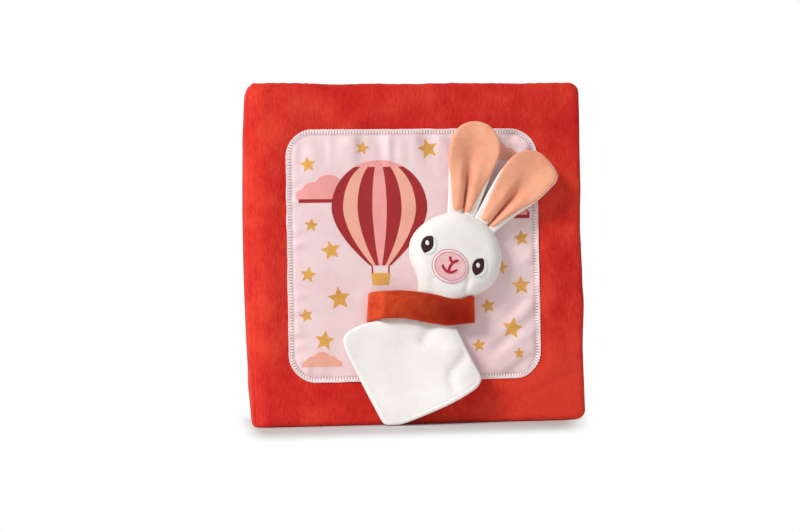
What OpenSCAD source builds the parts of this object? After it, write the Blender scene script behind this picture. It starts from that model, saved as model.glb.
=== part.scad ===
// Cloth activity book that stands upright, with a padded plush cover,
// a printed patch and a plush rabbit held by a strap.
// Millimetres. The front cover faces -Y, the spine is on the -X side, +Z is up.
// The origin is the middle of the footprint, on the surface the book stands on.

/* [Book] */
// Width of the closed book, from the outside of the spine to the fore edge
book_w = 226.5; // [200:0.5:250]
// Height of the covers
book_h = 227; // [210:0.5:250]
// Thickness of the red plush, pile included
plush_t = 2.5; // [1.5:0.1:3]
// Thickness of the wadding in a cover
wadding_t = 5; // [3:0.5:9]
// Thickness of the lining cloth
lining_t = 1.5; // [1:0.1:2.5]
// Thickness of the wadding in the spine
spine_wadding_t = 2; // [1:0.5:4]
// Radius of the outer edges of the covers
edge_r = 2.5; // [1:0.1:3]
// Radius of the corners at the fore edge
corner_r = 5; // [2:0.5:10]
// Air between the spine and a cover at the fold
hinge_gap = 0.3; // [0.2:0.1:0.8]

/* [Leaves] */
// Number of padded cloth leaves
leaf_count = 4; // [2:1:6]
// Thickness of one padded leaf
leaf_t = 5.6; // [4:0.2:8]
// Air between two leaves, and between the leaves and a cover
leaf_gap = 0.4; // [0.3:0.1:1]
// How far the leaves stop short of the cover edges
page_margin = 5; // [3:0.5:10]
// Width of the sewn edge that joins the leaves
binding_w = 8; // [6:0.5:14]
// Length of one binding stitch
binding_stitch_l = 6; // [3:0.5:8]
// Distance from one binding stitch to the next
binding_pitch = 10; // [9:0.5:15]

/* [Patch] */
// Width of the printed patch
patch_w = 169; // [150:1:180]
// Height of the printed patch
patch_h = 167.5; // [155:0.5:180]
// Corner radius of the patch
patch_r = 18.5; // [12:0.5:30]
// Thickness of the patch
patch_t = 0.8; // [0.5:0.1:1.2]
// Sideways place of the patch centre from the middle of the book
patch_x = -1.4; // [-6:0.1:3]
// Height of the patch centre above the lower edge
patch_z = 112.7; // [105:0.1:120]
// Width of the zigzag seam
zigzag_w = 4.4; // [3:0.1:6]
// Distance from one zigzag point to the next on the same side
zigzag_pitch = 3.5; // [3:0.1:5]
// Thickness of embroidery and seam thread
thread_t = 0.5; // [0.3:0.1:0.7]
// Thickness of the printed colour
print_t = 0.25; // [0.15:0.05:0.3]

/* [Print] */
// Radius of the balloon's round top
balloon_r = 32; // [22:1:34]
// Width of one large star, point to point
star_w = 16; // [10:0.5:18]
// Radius of the largest puff of a cloud
cloud_r = 10; // [7:0.5:11]

/* [Strap] */
// Length of the strap
strap_l = 73; // [70:0.5:80]
// Width of the strap
strap_w = 19; // [14:0.5:20]
// Thickness of the strap
strap_t = 3; // [2:0.1:4]
// Length of the strap's sewn ends
strap_foot = 2.5; // [2:0.5:3]
// Length over which the strap rises on each side
strap_ramp = 5.5; // [4.5:0.5:6.5]
// Turn of the strap, fore edge side down
strap_turn = 2.8; // [0:0.1:5]
// Sideways place of the strap centre from the patch centre
strap_x = 2.3; // [1:0.1:4]
// Height of the strap centre from the patch centre
strap_z = -36.2; // [-38:0.1:-35]

/* [Rabbit] */
// Width of the head
head_w = 63.4; // [58:0.1:66]
// Height of the oval of the head
head_h = 54.8; // [50:0.1:58]
// Thickness of the stuffed head
head_t = 14; // [12:0.5:18]
// Lean of the head towards the fore edge
head_turn = 24.5; // [20:0.5:28]
// Sideways place of the head centre from the strap centre
head_x = 25.5; // [24:0.1:27]
// Height of the head centre above the strap centre
head_z = 39; // [38.9:0.1:42]
// How far the oval's own centre lies below the head centre
oval_drop = 2.7; // [0:0.1:4]
// Width of the neck
neck_w = 27.4; // [22:0.1:29]
// Thickness of the neck under the strap
neck_t = 6; // [4:0.5:7]
// How far the neck reaches below the head centre
neck_reach = 44; // [42:0.5:46]
// Length of the body square along its lower edge
body_w = 73; // [66:0.5:74]
// Length of the body square along its other edge
body_h = 70; // [66:0.1:74]
// Turn of the body square
body_turn = 24.7; // [22:0.1:29]
// Sideways place of the body square's middle from the head centre
body_x = -31.2; // [-32:0.1:-31]
// Height of the body square's middle from the head centre
body_z = -74.2; // [-74.5:0.1:-73.5]
// Corner radius of the body
body_r = 7; // [4:0.5:10]
// Radius of the corner that hangs down to the floor
body_low_r = 20; // [18:0.5:24]
// Thickness of the body
body_t = 5; // [3:0.5:5.5]
// Clearance between sewn soft pieces
seam_gap = 0.3; // [0.2:0.05:0.5]
// Air between the rabbit's back and the threads on the patch
rabbit_air = 0.1; // [0.05:0.05:0.3]
// Air between the strap and the neck
strap_air = 1; // [0.8:0.1:1.5]

/* [Ears] */
// Length of an ear
ear_l = 61; // [45:1:66]
// Widest width of an ear
ear_w = 31.5; // [24:0.5:34]
// Width of an ear where it is sewn to the head
ear_base_w = 17; // [12:0.5:19]
// Thickness of the white back of an ear
ear_back_t = 2.4; // [1.5:0.1:3]
// Thickness of the peach front of an ear
ear_front_t = 1.8; // [1:0.1:2.4]
// How far the tips stand further off the cover than the ear bases
ear_lift = 6; // [0:0.5:7]
// Depth of the fold down the middle of an ear at its base
ear_fold = 2.6; // [0:0.2:3.5]
// White border beside the peach front at the ear base
ear_border = 1.8; // [1:0.1:3]

/* [Face] */
// Distance between the middles of the eyes
eye_space = 36.8; // [32:0.1:39]
// Width of an eye
eye_w = 7.9; // [5:0.1:9]
// Height of an eye
eye_h = 11.5; // [8:0.1:13]
// How far the eyes lie below the head centre
eye_drop = 5.4; // [4:0.1:7]
// Sideways place of the face's middle line
face_x = -1.6; // [-2.5:0.1:0]
// Diameter of the glint in an eye
glint_d = 2.7; // [1.5:0.1:3.5]
// Width of the muzzle
muzzle_w = 24.6; // [20:0.1:26]
// Height of the muzzle
muzzle_h = 21.6; // [18:0.1:22]
// How far the muzzle's middle lies below the head centre
muzzle_drop = 12.9; // [12:0.1:13.4]
// Thickness of the muzzle cloth
muzzle_t = 0.7; // [0.4:0.1:1]
// Width of the mouth thread
mouth_thread_w = 1.4; // [0.8:0.1:2]

/* [Hidden] */
arc_steps = 8;
oval_steps = 40;

// Thicknesses of the whole book and its covers
cover_t = plush_t + wadding_t + lining_t;
spine_t = plush_t + spine_wadding_t + lining_t;
stack_t = leaf_count * leaf_t + (leaf_count - 1) * leaf_gap;
book_t = 2 * cover_t + stack_t + 2 * leaf_gap;

// The rabbit's back plane and everything that stands proud of the cover
rabbit_seat = patch_t + thread_t + rabbit_air;
reach = rabbit_seat + head_t + muzzle_t + thread_t;
mid_y = reach / 2;
face_y = mid_y - book_t / 2;
patch_face_y = face_y - patch_t;
rabbit_y = face_y - rabbit_seat;

// Edges of the book across its width
spine_x = -book_w / 2;
fore_x = book_w / 2;
fold_x = spine_x + spine_t;
spine_end_x = fold_x - hinge_gap;
spine_r = spine_t - hinge_gap;
seam_r = 1;
leaf_flat = 0.3;
leaf_edge_r = leaf_t / 2 - leaf_flat;

// Outline helpers: all return lists of points that run counterclockwise
function around(c, r, a) = c + r * [cos(a), sin(a)];
function quarter(c, r, a) = r <= 0 ? [c] : [for (i = [0:arc_steps]) around(c, r, a + 90 * i / arc_steps)];
function rounded(lo, hi, r) = concat(
    quarter([lo.x + r[0], lo.y + r[0]], r[0], 180),
    quarter([hi.x - r[1], lo.y + r[1]], r[1], 270),
    quarter([hi.x - r[2], hi.y - r[2]], r[2], 0),
    quarter([lo.x + r[3], hi.y - r[3]], r[3], 90)
);
function ellipse(w, h) = [
    for (i = [0:oval_steps - 1])
        let (a = 360 * i / oval_steps)
        [w / 2 * cos(a), h / 2 * sin(a)]
];
function turn_point(p, a) = [p.x * cos(a) - p.y * sin(a), p.x * sin(a) + p.y * cos(a)];
function unit(v) = v / norm(v);
function smooth(s) = let (c = min(1, max(0, s))) c * c * (3 - 2 * c);
function mean(v, i = 0, sum = [0, 0]) = i == len(v) ? sum / len(v) : mean(v, i + 1, sum + v[i]);

// One rounded corner of a convex outline, between the points before and after it
function fillet(before, at, after, r) =
    let (
        u = unit(before - at),
        v = unit(after - at),
        half = acos(u * v) / 2,
        c = at + unit(u + v) * r / sin(half),
        start = at + u * r / tan(half) - c,
        a = atan2(start.y, start.x),
        sweep = 180 - 2 * half
    )
    [for (i = [0:arc_steps]) around(c, r, a + sweep * i / arc_steps)];

// A solid through rings of equal length, which run clockwise seen from the
// first ring towards the last
module loft(rings) {
    n = len(rings[0]);
    last = len(rings) - 1;
    points = [for (ring = rings) each ring];
    sides = [
        for (k = [0:last - 1], i = [0:n - 1])
            let (a = k * n + i, b = k * n + (i + 1) % n)
            each [[a, a + n, b], [b, a + n, b + n]]
    ];
    first_cap = [[for (i = [0:n - 1]) i]];
    last_cap = [[for (i = [n - 1:-1:0]) last * n + i]];
    polyhedron(points = points, faces = concat(sides, first_cap, last_cap));
}

// Flat outlines drawn across X and Z, and made solid from y_low to y_high
module along_y(y_low, y_high) {
    translate([0, y_high, 0])
        rotate([90, 0, 0])
            linear_extrude(y_high - y_low)
                children();
}

// Flat outlines drawn across Y and Z, and made solid from x_low to x_high
module along_x(x_low, x_high) {
    translate([x_low, 0, 0])
        rotate([90, 0, 90])
            linear_extrude(x_high - x_low)
                children();
}

// A block whose edges are rounded in plan, in front view and in side view
module soft_block(lo, hi, plan_r, front_r, side_r) {
    intersection() {
        translate([0, 0, lo.z])
            linear_extrude(hi.z - lo.z)
                polygon(rounded([lo.x, lo.y], [hi.x, hi.y], plan_r));
        along_y(lo.y, hi.y)
            polygon(rounded([lo.x, lo.z], [hi.x, hi.z], front_r));
        along_x(lo.x, hi.x)
            polygon(rounded([lo.y, lo.z], [hi.y, hi.z], side_r));
    }
}

module block(lo, hi) {
    translate(lo)
        cube(hi - lo);
}

// Covers, drawn as the front cover and mirrored for the back one

module cover_plush() {
    outer = min(edge_r, cover_t / 2 - seam_r);
    translate([0, face_y, 0])
        difference() {
            soft_block(
                [fold_x, 0, 0], [fore_x, cover_t, book_h],
                [0, outer, seam_r, 0], [0, corner_r, corner_r, 0], [outer, seam_r, seam_r, outer]
            );
            block(
                [fold_x + plush_t, plush_t, plush_t],
                [fore_x - plush_t, cover_t + seam_r, book_h - plush_t]
            );
        }
}

module cover_layer(from, thickness) {
    block(
        [fold_x + plush_t, face_y + from, plush_t],
        [fore_x - plush_t, face_y + from + thickness, book_h - plush_t]
    );
}

module as_back_cover() {
    translate([0, 2 * mid_y, 0])
        mirror([0, 1, 0])
            children();
}

module front_cover_plush() {
    color([0.84, 0.2, 0.13])
        cover_plush();
}

module front_cover_wadding() {
    color([0.95, 0.94, 0.9])
        cover_layer(plush_t, wadding_t);
}

module front_cover_lining() {
    color([0.97, 0.84, 0.85])
        cover_layer(plush_t + wadding_t, lining_t);
}

module back_cover_plush() {
    color([0.84, 0.2, 0.13])
        as_back_cover()
            cover_plush();
}

module back_cover_wadding() {
    color([0.95, 0.94, 0.9])
        as_back_cover()
            cover_layer(plush_t, wadding_t);
}

module back_cover_lining() {
    color([0.97, 0.84, 0.85])
        as_back_cover()
            cover_layer(plush_t + wadding_t, lining_t);
}

// Spine

module spine_pocket(x_low, x_high) {
    inner_r = max(0.2, spine_r - plush_t);
    intersection() {
        translate([0, 0, plush_t])
            linear_extrude(book_h - 2 * plush_t)
                polygon(rounded(
                    [spine_x + plush_t, face_y + plush_t],
                    [spine_end_x + spine_t, face_y + book_t - plush_t],
                    [inner_r, 0, 0, inner_r]
                ));
        block([x_low, face_y, 0], [x_high, face_y + book_t, book_h]);
    }
}

module spine_plush() {
    outer = min(edge_r, cover_t / 2 - seam_r);
    top_r = min(corner_r, spine_r) - seam_r;
    color([0.84, 0.2, 0.13])
        difference() {
            soft_block(
                [spine_x, face_y, 0], [spine_end_x, face_y + book_t, book_h],
                [spine_r, 0, 0, spine_r], [top_r, 0, 0, top_r], [outer, outer, outer, outer]
            );
            spine_pocket(spine_x, spine_end_x + seam_r);
        }
}

module spine_wadding() {
    color([0.95, 0.94, 0.9])
        spine_pocket(spine_x, spine_end_x - lining_t);
}

module spine_lining() {
    color([0.97, 0.84, 0.85])
        spine_pocket(spine_end_x - lining_t, spine_end_x);
}

// Leaves

module pages() {
    low_z = page_margin;
    high_z = book_h - page_margin;
    stack_y = face_y + cover_t + leaf_gap;
    color([0.98, 0.92, 0.9])
        union() {
            block([spine_end_x, stack_y, low_z], [fold_x + binding_w, stack_y + stack_t, high_z]);
            for (i = [0:leaf_count - 1])
                translate([0, stack_y + i * (leaf_t + leaf_gap), 0])
                    soft_block(
                        [spine_end_x, 0, low_z], [fore_x - page_margin, leaf_t, high_z],
                        [0, leaf_edge_r, leaf_edge_r, 0], [0, corner_r, corner_r, 0],
                        [leaf_edge_r, leaf_edge_r, leaf_edge_r, leaf_edge_r]
                    );
        }
}

module binding_stitches() {
    stitch_w = 1.2;
    stitch_air = 0.15;
    stitch_t = leaf_gap - stitch_air;
    stack_y = face_y + cover_t + leaf_gap;
    run = book_h - 2 * page_margin - 2 * binding_pitch;
    count = floor(run / binding_pitch);
    first_z = book_h / 2 - (count - 1) * binding_pitch / 2 - binding_stitch_l / 2;
    stitch_x = fold_x + binding_w / 2;
    color([0.9, 0.55, 0.5])
        for (i = [0:count - 1], y = [stack_y - stitch_t, stack_y + stack_t])
            translate([stitch_x, y, first_z + i * binding_pitch])
                cube([stitch_w, stitch_t, binding_stitch_l]);
}

// Patch with its zigzag seam

module on_patch(thickness) {
    translate([patch_x, 0, patch_z])
        along_y(patch_face_y - thickness, patch_face_y)
            children();
}

module cover_patch() {
    color([0.97, 0.86, 0.87])
        translate([patch_x, 0, patch_z])
            along_y(patch_face_y, face_y)
                polygon(rounded(
                    [-patch_w / 2, -patch_h / 2], [patch_w / 2, patch_h / 2],
                    [patch_r, patch_r, patch_r, patch_r]
                ));
}

// A point at distance s along a rounded rectangle of half sizes a and b and
// corner radius r, moved outward by off
function walk(s, a, b, r, off) =
    let (
        straight_x = 2 * (a - r),
        straight_z = 2 * (b - r),
        bend = PI * r / 2,
        legs = [straight_z, bend, straight_x, bend, straight_z, bend, straight_x, bend],
        starts = [for (i = 0, t = 0; i < 8; t = t + legs[i], i = i + 1) t],
        k = max([for (i = [0:7]) s >= starts[i] ? i : 0]),
        d = s - starts[k],
        side = floor(k / 2),
        middle = [[a - r, -(b - r)], [a - r, b - r], [-(a - r), b - r], [-(a - r), -(b - r)]],
        ahead = [[0, 1], [-1, 0], [0, -1], [1, 0]],
        out = [[1, 0], [0, 1], [-1, 0], [0, -1]],
        swing = d / bend * 90,
        corner_c = middle[(side + 1) % 4],
        o = out[side],
        n = out[(side + 1) % 4]
    )
    k % 2 == 0
        ? middle[side] + ahead[side] * d + o * (r + off)
        : corner_c + (o * cos(swing) + n * sin(swing)) * (r + off);

module patch_zigzag() {
    band_w = 1.6;
    edge_gap = 0.4;
    swing = (zigzag_w - band_w) / 2;
    inset = zigzag_w / 2 + edge_gap;
    a = patch_w / 2 - inset;
    b = patch_h / 2 - inset;
    r = patch_r - inset;
    length = 4 * (a - r) + 4 * (b - r) + 2 * PI * r;
    teeth = floor(length / zigzag_pitch);
    step = length / teeth / 2;
    offsets = [for (i = [0:2 * teeth - 1]) i % 2 == 0 ? swing : -swing];
    color([0.99, 0.93, 0.93])
        on_patch(thread_t)
            difference() {
                polygon([for (i = [0:2 * teeth - 1]) walk(i * step, a, b, r, offsets[i] + band_w / 2)]);
                polygon([for (i = [0:2 * teeth - 1]) walk(i * step, a, b, r, offsets[i] - band_w / 2)]);
            }
}

// Print: a striped balloon, clouds and stars, as flat fields of colour

balloon = [-0.135, 0.185];
balloon_mouth = 7;
balloon_drop = 38;
balloon_crown = 0.86;
gore_steps = 18;
print_gap = 0.3;
gore_edges = [-1, -0.76, -0.46, -0.15, 0.15, 0.46, 0.76, 1];
basket_w = 13;
basket_h = 8;
basket_drop = 47;

// Width share, height share, size share and turn of each star on the patch
stars = [
    [-0.415, 0.36, 0.7, 8], [-0.2, 0.425, 0.62, -12], [0.06, 0.42, 0.9, 14], [-0.405, 0.12, 0.6, -6],
    [-0.33, 0.02, 0.85, 12], [-0.42, -0.075, 0.7, -10], [-0.3, -0.17, 1, 6], [-0.43, -0.235, 0.62, 15],
    [-0.36, -0.335, 0.85, -8], [0.43, 0.06, 0.72, 10], [0.345, -0.055, 0.62, -14], [0.425, -0.13, 0.85, 4],
    [0.29, -0.21, 0.66, 12], [0.385, -0.3, 0.95, -10], [0.25, -0.365, 0.6, 6], [0.41, -0.4, 0.5, 0]
];

// Width share, height share and size share of each cloud on the patch
pink_clouds = [[-0.335, 0.26, 1], [0.33, 0.19, 0.98]];
salmon_clouds = [[-0.37, -0.415, 0.62], [0.34, 0.4, 0.75]];
cloud_shade = [1.6, -2.4];

function patch_point(share) = [share[0] * patch_w, share[1] * patch_h];

// Half width of the balloon at a height above its round top's centre
function balloon_half(z) =
    z >= 0
        ? sqrt(max(0, balloon_r * balloon_r - z * z))
        : balloon_mouth + (balloon_r - balloon_mouth) * (1 + cos(180 * -z / balloon_drop)) / 2;

module gore(from, to) {
    top = balloon_crown * balloon_r;
    bottom = -balloon_drop;
    heights = [for (i = [0:gore_steps]) bottom + (top - bottom) * i / gore_steps];
    down = len(heights) - 1;
    translate(patch_point(balloon))
        polygon(concat(
            [for (z = heights) [to * balloon_half(z) - print_gap / 2, z]],
            [for (i = [down:-1:0]) [from * balloon_half(heights[i]) + print_gap / 2, heights[i]]]
        ));
}

module balloon_crown_panel() {
    low = balloon_crown * balloon_r + print_gap;
    half_angle = acos(low / balloon_r);
    translate(patch_point(balloon))
        polygon([
            for (i = [0:2 * arc_steps])
                let (a = 90 - half_angle + half_angle * i / arc_steps)
                balloon_r * [cos(a), sin(a)]
        ]);
}

module balloon_clearing() {
    translate(patch_point(balloon))
        circle(balloon_r + 2 * print_gap, $fn = 96);
}

module cloud(share, grow = 0) {
    r = cloud_r * share[2] + grow;
    translate(patch_point(share))
        intersection() {
            union() {
                circle(r, $fn = 40);
                for (side = [-1, 1]) {
                    translate([side * 1.05 * r, -0.2 * r])
                        circle(0.72 * r, $fn = 32);
                    translate([side * 1.75 * r, -0.42 * r])
                        circle(0.45 * r, $fn = 24);
                }
            }
            translate([-3 * r, -0.62 * r])
                square([6 * r, 3 * r]);
        }
}

module star(share) {
    inner = 0.46;
    size = star_w * share[2] / 2;
    translate(patch_point(share))
        polygon([
            for (i = [0:9])
                let (a = 90 + share[3] + 36 * i)
                size * (i % 2 == 0 ? 1 : inner) * [cos(a), sin(a)]
        ]);
}

// A cloud that drifts behind the balloon
module far_cloud(share) {
    difference() {
        cloud(share);
        balloon_clearing();
    }
}

// The darker underside that shows below a far cloud
module cloud_shadow(share) {
    difference() {
        translate(cloud_shade)
            cloud(share);
        cloud(share, print_gap);
        balloon_clearing();
    }
}

module balloon_ropes() {
    rope_w = 0.9;
    translate(patch_point(balloon))
        for (side = [-1, 1])
            polygon([
                [side * (basket_w / 2 - rope_w), -basket_drop],
                [side * (basket_w / 2), -basket_drop],
                [side * balloon_mouth, -balloon_drop - print_gap],
                [side * (balloon_mouth - rope_w), -balloon_drop - print_gap]
            ]);
}

module print_dark_red() {
    color([0.65, 0.15, 0.16])
        on_patch(print_t) {
            for (i = [0, 2, 4, 6])
                gore(gore_edges[i], gore_edges[i + 1]);
            balloon_ropes();
            for (share = pink_clouds)
                cloud_shadow(share);
        }
}

module print_salmon() {
    color([0.97, 0.7, 0.62])
        on_patch(print_t) {
            for (i = [1, 5])
                gore(gore_edges[i], gore_edges[i + 1]);
            for (share = salmon_clouds)
                cloud(share);
        }
}

module print_pink() {
    color([0.97, 0.64, 0.64])
        on_patch(print_t) {
            gore(gore_edges[3], gore_edges[4]);
            balloon_crown_panel();
            for (share = pink_clouds)
                far_cloud(share);
        }
}

module print_gold() {
    color([0.88, 0.66, 0.31])
        on_patch(print_t) {
            for (share = stars)
                star(share);
            translate(patch_point(balloon))
                translate([-basket_w / 2, -basket_drop - basket_h - print_gap])
                    square([basket_w, basket_h]);
        }
}

// Strap over the rabbit's neck

strap_rise = rabbit_seat - patch_t + neck_t + strap_air;
strap_steps = 10;

function strap_height(x) = strap_rise * smooth((strap_l / 2 - strap_foot - abs(x)) / strap_ramp);

module strap() {
    ramp_x = strap_l / 2 - strap_foot;
    xs = concat(
        [-strap_l / 2],
        [for (i = [0:strap_steps]) -ramp_x + strap_ramp * i / strap_steps],
        [for (i = [strap_steps:-1:0]) ramp_x - strap_ramp * i / strap_steps],
        [strap_l / 2]
    );
    last = len(xs) - 1;
    color([0.76, 0.26, 0.13])
        translate([patch_x + strap_x, patch_face_y, patch_z + strap_z])
            rotate([0, strap_turn, 0])
                translate([0, 0, -strap_w / 2])
                    linear_extrude(strap_w)
                        polygon(concat(
                            [for (x = xs) [x, -strap_height(x) - strap_t]],
                            [for (i = [last:-1:0]) [xs[i], -strap_height(xs[i])]]
                        ));
}

// Rabbit. Its own frame has the origin at the head centre on the back plane,
// with X across the face, Z towards the ears, and the face towards -Y.

module in_rabbit() {
    translate([patch_x + strap_x + head_x, rabbit_y, patch_z + strap_z + head_z])
        rotate([0, head_turn, 0])
            children();
}

head_flat = 0.84;
chin_air = 0.5;
throat_l = 4.4;
throat_step = 1.5;
chin_z = -(muzzle_drop + muzzle_h / 2 + chin_air);
throat_z = chin_z - throat_l;
crown_thin = 0.5;
crown_back = 0.45;
// Half width share and depth share of the points down one side of the head
head_side = [[0.8, 0], [0.94, 0.1], [1, 0.3], [1, 0.6], [0.95, 0.86], [head_flat, 1]];
cheek_shares = [-0.97, -0.9, -0.8, -0.62, -0.4, -0.15, 0.1, 0.35, 0.55, 0.7, 0.82, 0.9, 0.96, 0.99];

function oval_half(z) = head_w / 2 * sqrt(max(0.01, 1 - pow((z + oval_drop) / (head_h / 2), 2)));
function head_half(z) = z < 0 ? max(neck_w / 2, oval_half(z)) : oval_half(z);
function head_thick(z) =
    z < chin_z
        ? neck_t + (head_t - neck_t) * smooth((z - throat_z) / (chin_z - throat_z))
        : head_t * (1 - crown_thin * pow(max(0, (z + oval_drop) / (head_h / 2)), 5));
function head_back(z) = z < 0 ? 0 : (head_t - head_thick(z)) * crown_back;

// One slice across the head, flat in front and at the back
function head_ring(z) =
    let (
        w = head_half(z),
        t = head_thick(z),
        back = head_back(z),
        last = len(head_side) - 1
    )
    concat(
        [for (p = head_side) [p[0] * w, -back - p[1] * t, z]],
        [for (i = [last:-1:0]) [-head_side[i][0] * w, -back - head_side[i][1] * t, z]]
    );

module rabbit_head() {
    neck_zs = [-neck_reach, throat_z - 2 * throat_step, for (i = [0:2]) throat_z + i * throat_step];
    oval_zs = [for (share = cheek_shares) share * head_h / 2 - oval_drop];
    zs = concat(neck_zs, [chin_z], [for (z = oval_zs) if (z > chin_z + chin_air) z]);
    color([0.97, 0.96, 0.94])
        in_rabbit()
            loft([for (i = [len(zs) - 1:-1:0]) head_ring(zs[i])]);
}

// Body outline: a square whose top corner is cut off where the neck meets it

body_middle = [body_x, body_z];
// Depth share and size share of the slices through the body
body_scale = [[0, 0.96], [0.2, 0.99], [0.45, 1], [0.75, 0.985], [1, 0.93]];

function body_corner(sx, sz) = body_middle + turn_point([sx * body_w / 2, sz * body_h / 2], body_turn);
function neck_corner(side) =
    turn_point([side * (neck_w / 2 + seam_r), -neck_reach - seam_gap], -head_turn);

module rabbit_body() {
    neck_r = 1;
    corners = [body_corner(-1, 1), body_corner(-1, -1), body_corner(1, -1), neck_corner(1), neck_corner(-1)];
    radii = [body_r, body_low_r, body_r, neck_r, neck_r];
    n = len(corners);
    outline = [
        for (i = [0:n - 1])
            each fillet(corners[(i + n - 1) % n], corners[i], corners[(i + 1) % n], radii[i])
    ];
    c = mean(outline);
    rings = [
        for (layer = body_scale)
            [for (p = outline) let (q = c + (p - c) * layer[1]) [q.x, -layer[0] * body_t, q.y]]
    ];
    color([0.97, 0.96, 0.94])
        translate([patch_x + strap_x + head_x, rabbit_y, patch_z + strap_z + head_z])
            loft(rings);
}

// Ears: stations run from the base at 0 to the tip at 1

ear_shares = [0, 0.1, 0.22, 0.35, 0.48, 0.6, 0.7, 0.78, 0.85, 0.91, 0.955, 0.98, 0.995];
ear_widest = 0.74;
ear_base_y = 3.4;
ear_bulge = 0.4;
ear_dip_left = 0.1;
left_ear_x = -7.5;
right_ear_x = 10.5;
left_ear_lean = -15;
right_ear_lean = 18.5;

function ear_half(s) =
    s < ear_widest
        ? ear_base_w / 2 + (ear_w - ear_base_w) / 2 * pow(sin(90 * s / ear_widest), 1.3)
        : ear_w / 2 * sqrt(1 - pow((s - ear_widest) / (1 - ear_widest), 2));
function ear_rise(s) = ear_base_y + ear_lift * pow(s, 1.3);
function ear_dip(s) = ear_fold * max(ear_dip_left, 1 - s / ear_widest);
function ear_crown(x) = ear_bulge * (1 - x * x);

// A point of an ear at a share across its half width, at a depth above its back
function ear_point(s, x, half, depth) =
    [x * half, -ear_rise(s) - ear_dip(s) * abs(x) - depth - ear_crown(x), s * ear_l];

// One slice across an ear, from depth low to depth high above its back
function ear_ring(s, half, low, high) =
    let (xs = [-1, -0.5, 0, 0.5, 1])
    concat(
        [for (x = xs) ear_point(s, x, half, high)],
        [for (i = [4:-1:0]) ear_point(s, xs[i], half, low)]
    );

module at_ear(x, lean) {
    in_rabbit()
        translate([x, 0, head_h / 2 * sqrt(1 - pow(2 * x / head_w, 2)) - oval_drop + seam_gap])
            rotate([0, lean, 0])
                children();
}

module ear_back() {
    loft([for (s = ear_shares) ear_ring(s, ear_half(s), 0, ear_back_t)]);
}

module ear_front() {
    low = ear_back_t + seam_gap;
    tip_border = 0.1;
    loft([
        for (i = [1:len(ear_shares) - 2])
            let (s = ear_shares[i], border = ear_border * (1 + tip_border - s))
            ear_ring(s, ear_half(s) - border, low, low + ear_front_t)
    ]);
}

module left_ear() {
    color([0.97, 0.96, 0.94])
        at_ear(left_ear_x, left_ear_lean)
            ear_back();
}

module left_ear_lining() {
    color([0.97, 0.67, 0.52])
        at_ear(left_ear_x, left_ear_lean)
            ear_front();
}

module right_ear() {
    color([0.97, 0.96, 0.94])
        at_ear(right_ear_x, right_ear_lean)
            ear_back();
}

module right_ear_lining() {
    color([0.97, 0.67, 0.52])
        at_ear(right_ear_x, right_ear_lean)
            ear_front();
}

// Face, embroidered on the flat front of the head

module on_face(lift, thickness) {
    in_rabbit()
        along_y(-head_t - lift - thickness, -head_t - lift)
            children();
}

module eye_dark(side) {
    translate([face_x + side * eye_space / 2, -eye_drop])
        difference() {
            polygon(ellipse(eye_w, eye_h));
            circle(d = glint_d, $fn = 24);
        }
}

module eye_light(side) {
    inset = 0.15;
    rim = 0.5;
    shift = [0.9, -0.9];
    translate([face_x + side * eye_space / 2, -eye_drop]) {
        circle(d = glint_d - 2 * inset, $fn = 24);
        difference() {
            translate(shift)
                polygon(ellipse(eye_w + rim, eye_h + rim));
            polygon(ellipse(eye_w + 2 * inset, eye_h + 2 * inset));
            translate([-eye_w, -eye_h])
                square([eye_w, 2 * eye_h]);
        }
    }
}

module left_eye() {
    color([0.2, 0.09, 0.12])
        on_face(0, thread_t)
            eye_dark(-1);
}

module left_eye_glints() {
    color([0.86, 0.94, 0.94])
        on_face(0, thread_t)
            eye_light(-1);
}

module right_eye() {
    color([0.2, 0.09, 0.12])
        on_face(0, thread_t)
            eye_dark(1);
}

module right_eye_glints() {
    color([0.86, 0.94, 0.94])
        on_face(0, thread_t)
            eye_light(1);
}

muzzle_x = face_x + 0.7;

module muzzle_patch() {
    color([0.95, 0.74, 0.76])
        on_face(0, muzzle_t)
            translate([muzzle_x, -muzzle_drop])
                polygon(ellipse(muzzle_w, muzzle_h));
}

module muzzle_stitching() {
    rim = 1.2;
    color([0.97, 0.82, 0.83])
        on_face(muzzle_t, thread_t)
            translate([muzzle_x, -muzzle_drop])
                for (inset = [0, 2 * rim])
                    difference() {
                        polygon(ellipse(muzzle_w - 2 * inset, muzzle_h - 2 * inset));
                        polygon(ellipse(muzzle_w - 2 * inset - rim, muzzle_h - 2 * inset - rim));
                    }
}

// A line of thread from p to q with round ends
module thread_line(p, q) {
    d = q - p;
    translate(p)
        circle(d = mouth_thread_w, $fn = 24);
    translate(q)
        circle(d = mouth_thread_w, $fn = 24);
    translate(p)
        rotate(atan2(d.y, d.x))
            translate([0, -mouth_thread_w / 2])
                square([norm(d), mouth_thread_w]);
}

module mouth_stitching() {
    nose_w = 6.3;
    nose_top = 6.2;
    join = 2.6;
    stem = -3;
    smile_w = 9.4;
    smile_top = 0.4;
    steps = 8;
    smile = [
        for (i = [0:steps])
            let (s = -1 + 2 * i / steps)
            [s * smile_w / 2, stem + (smile_top - stem) * s * s]
    ];
    color([0.72, 0.1, 0.2])
        on_face(muzzle_t, thread_t)
            translate([muzzle_x, -muzzle_drop]) {
                thread_line([-nose_w / 2, nose_top], [0, join]);
                thread_line([nose_w / 2, nose_top], [0, join]);
                thread_line([0, join], [0, stem]);
                for (i = [0:steps - 1])
                    thread_line(smile[i], smile[i + 1]);
            }
}

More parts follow.
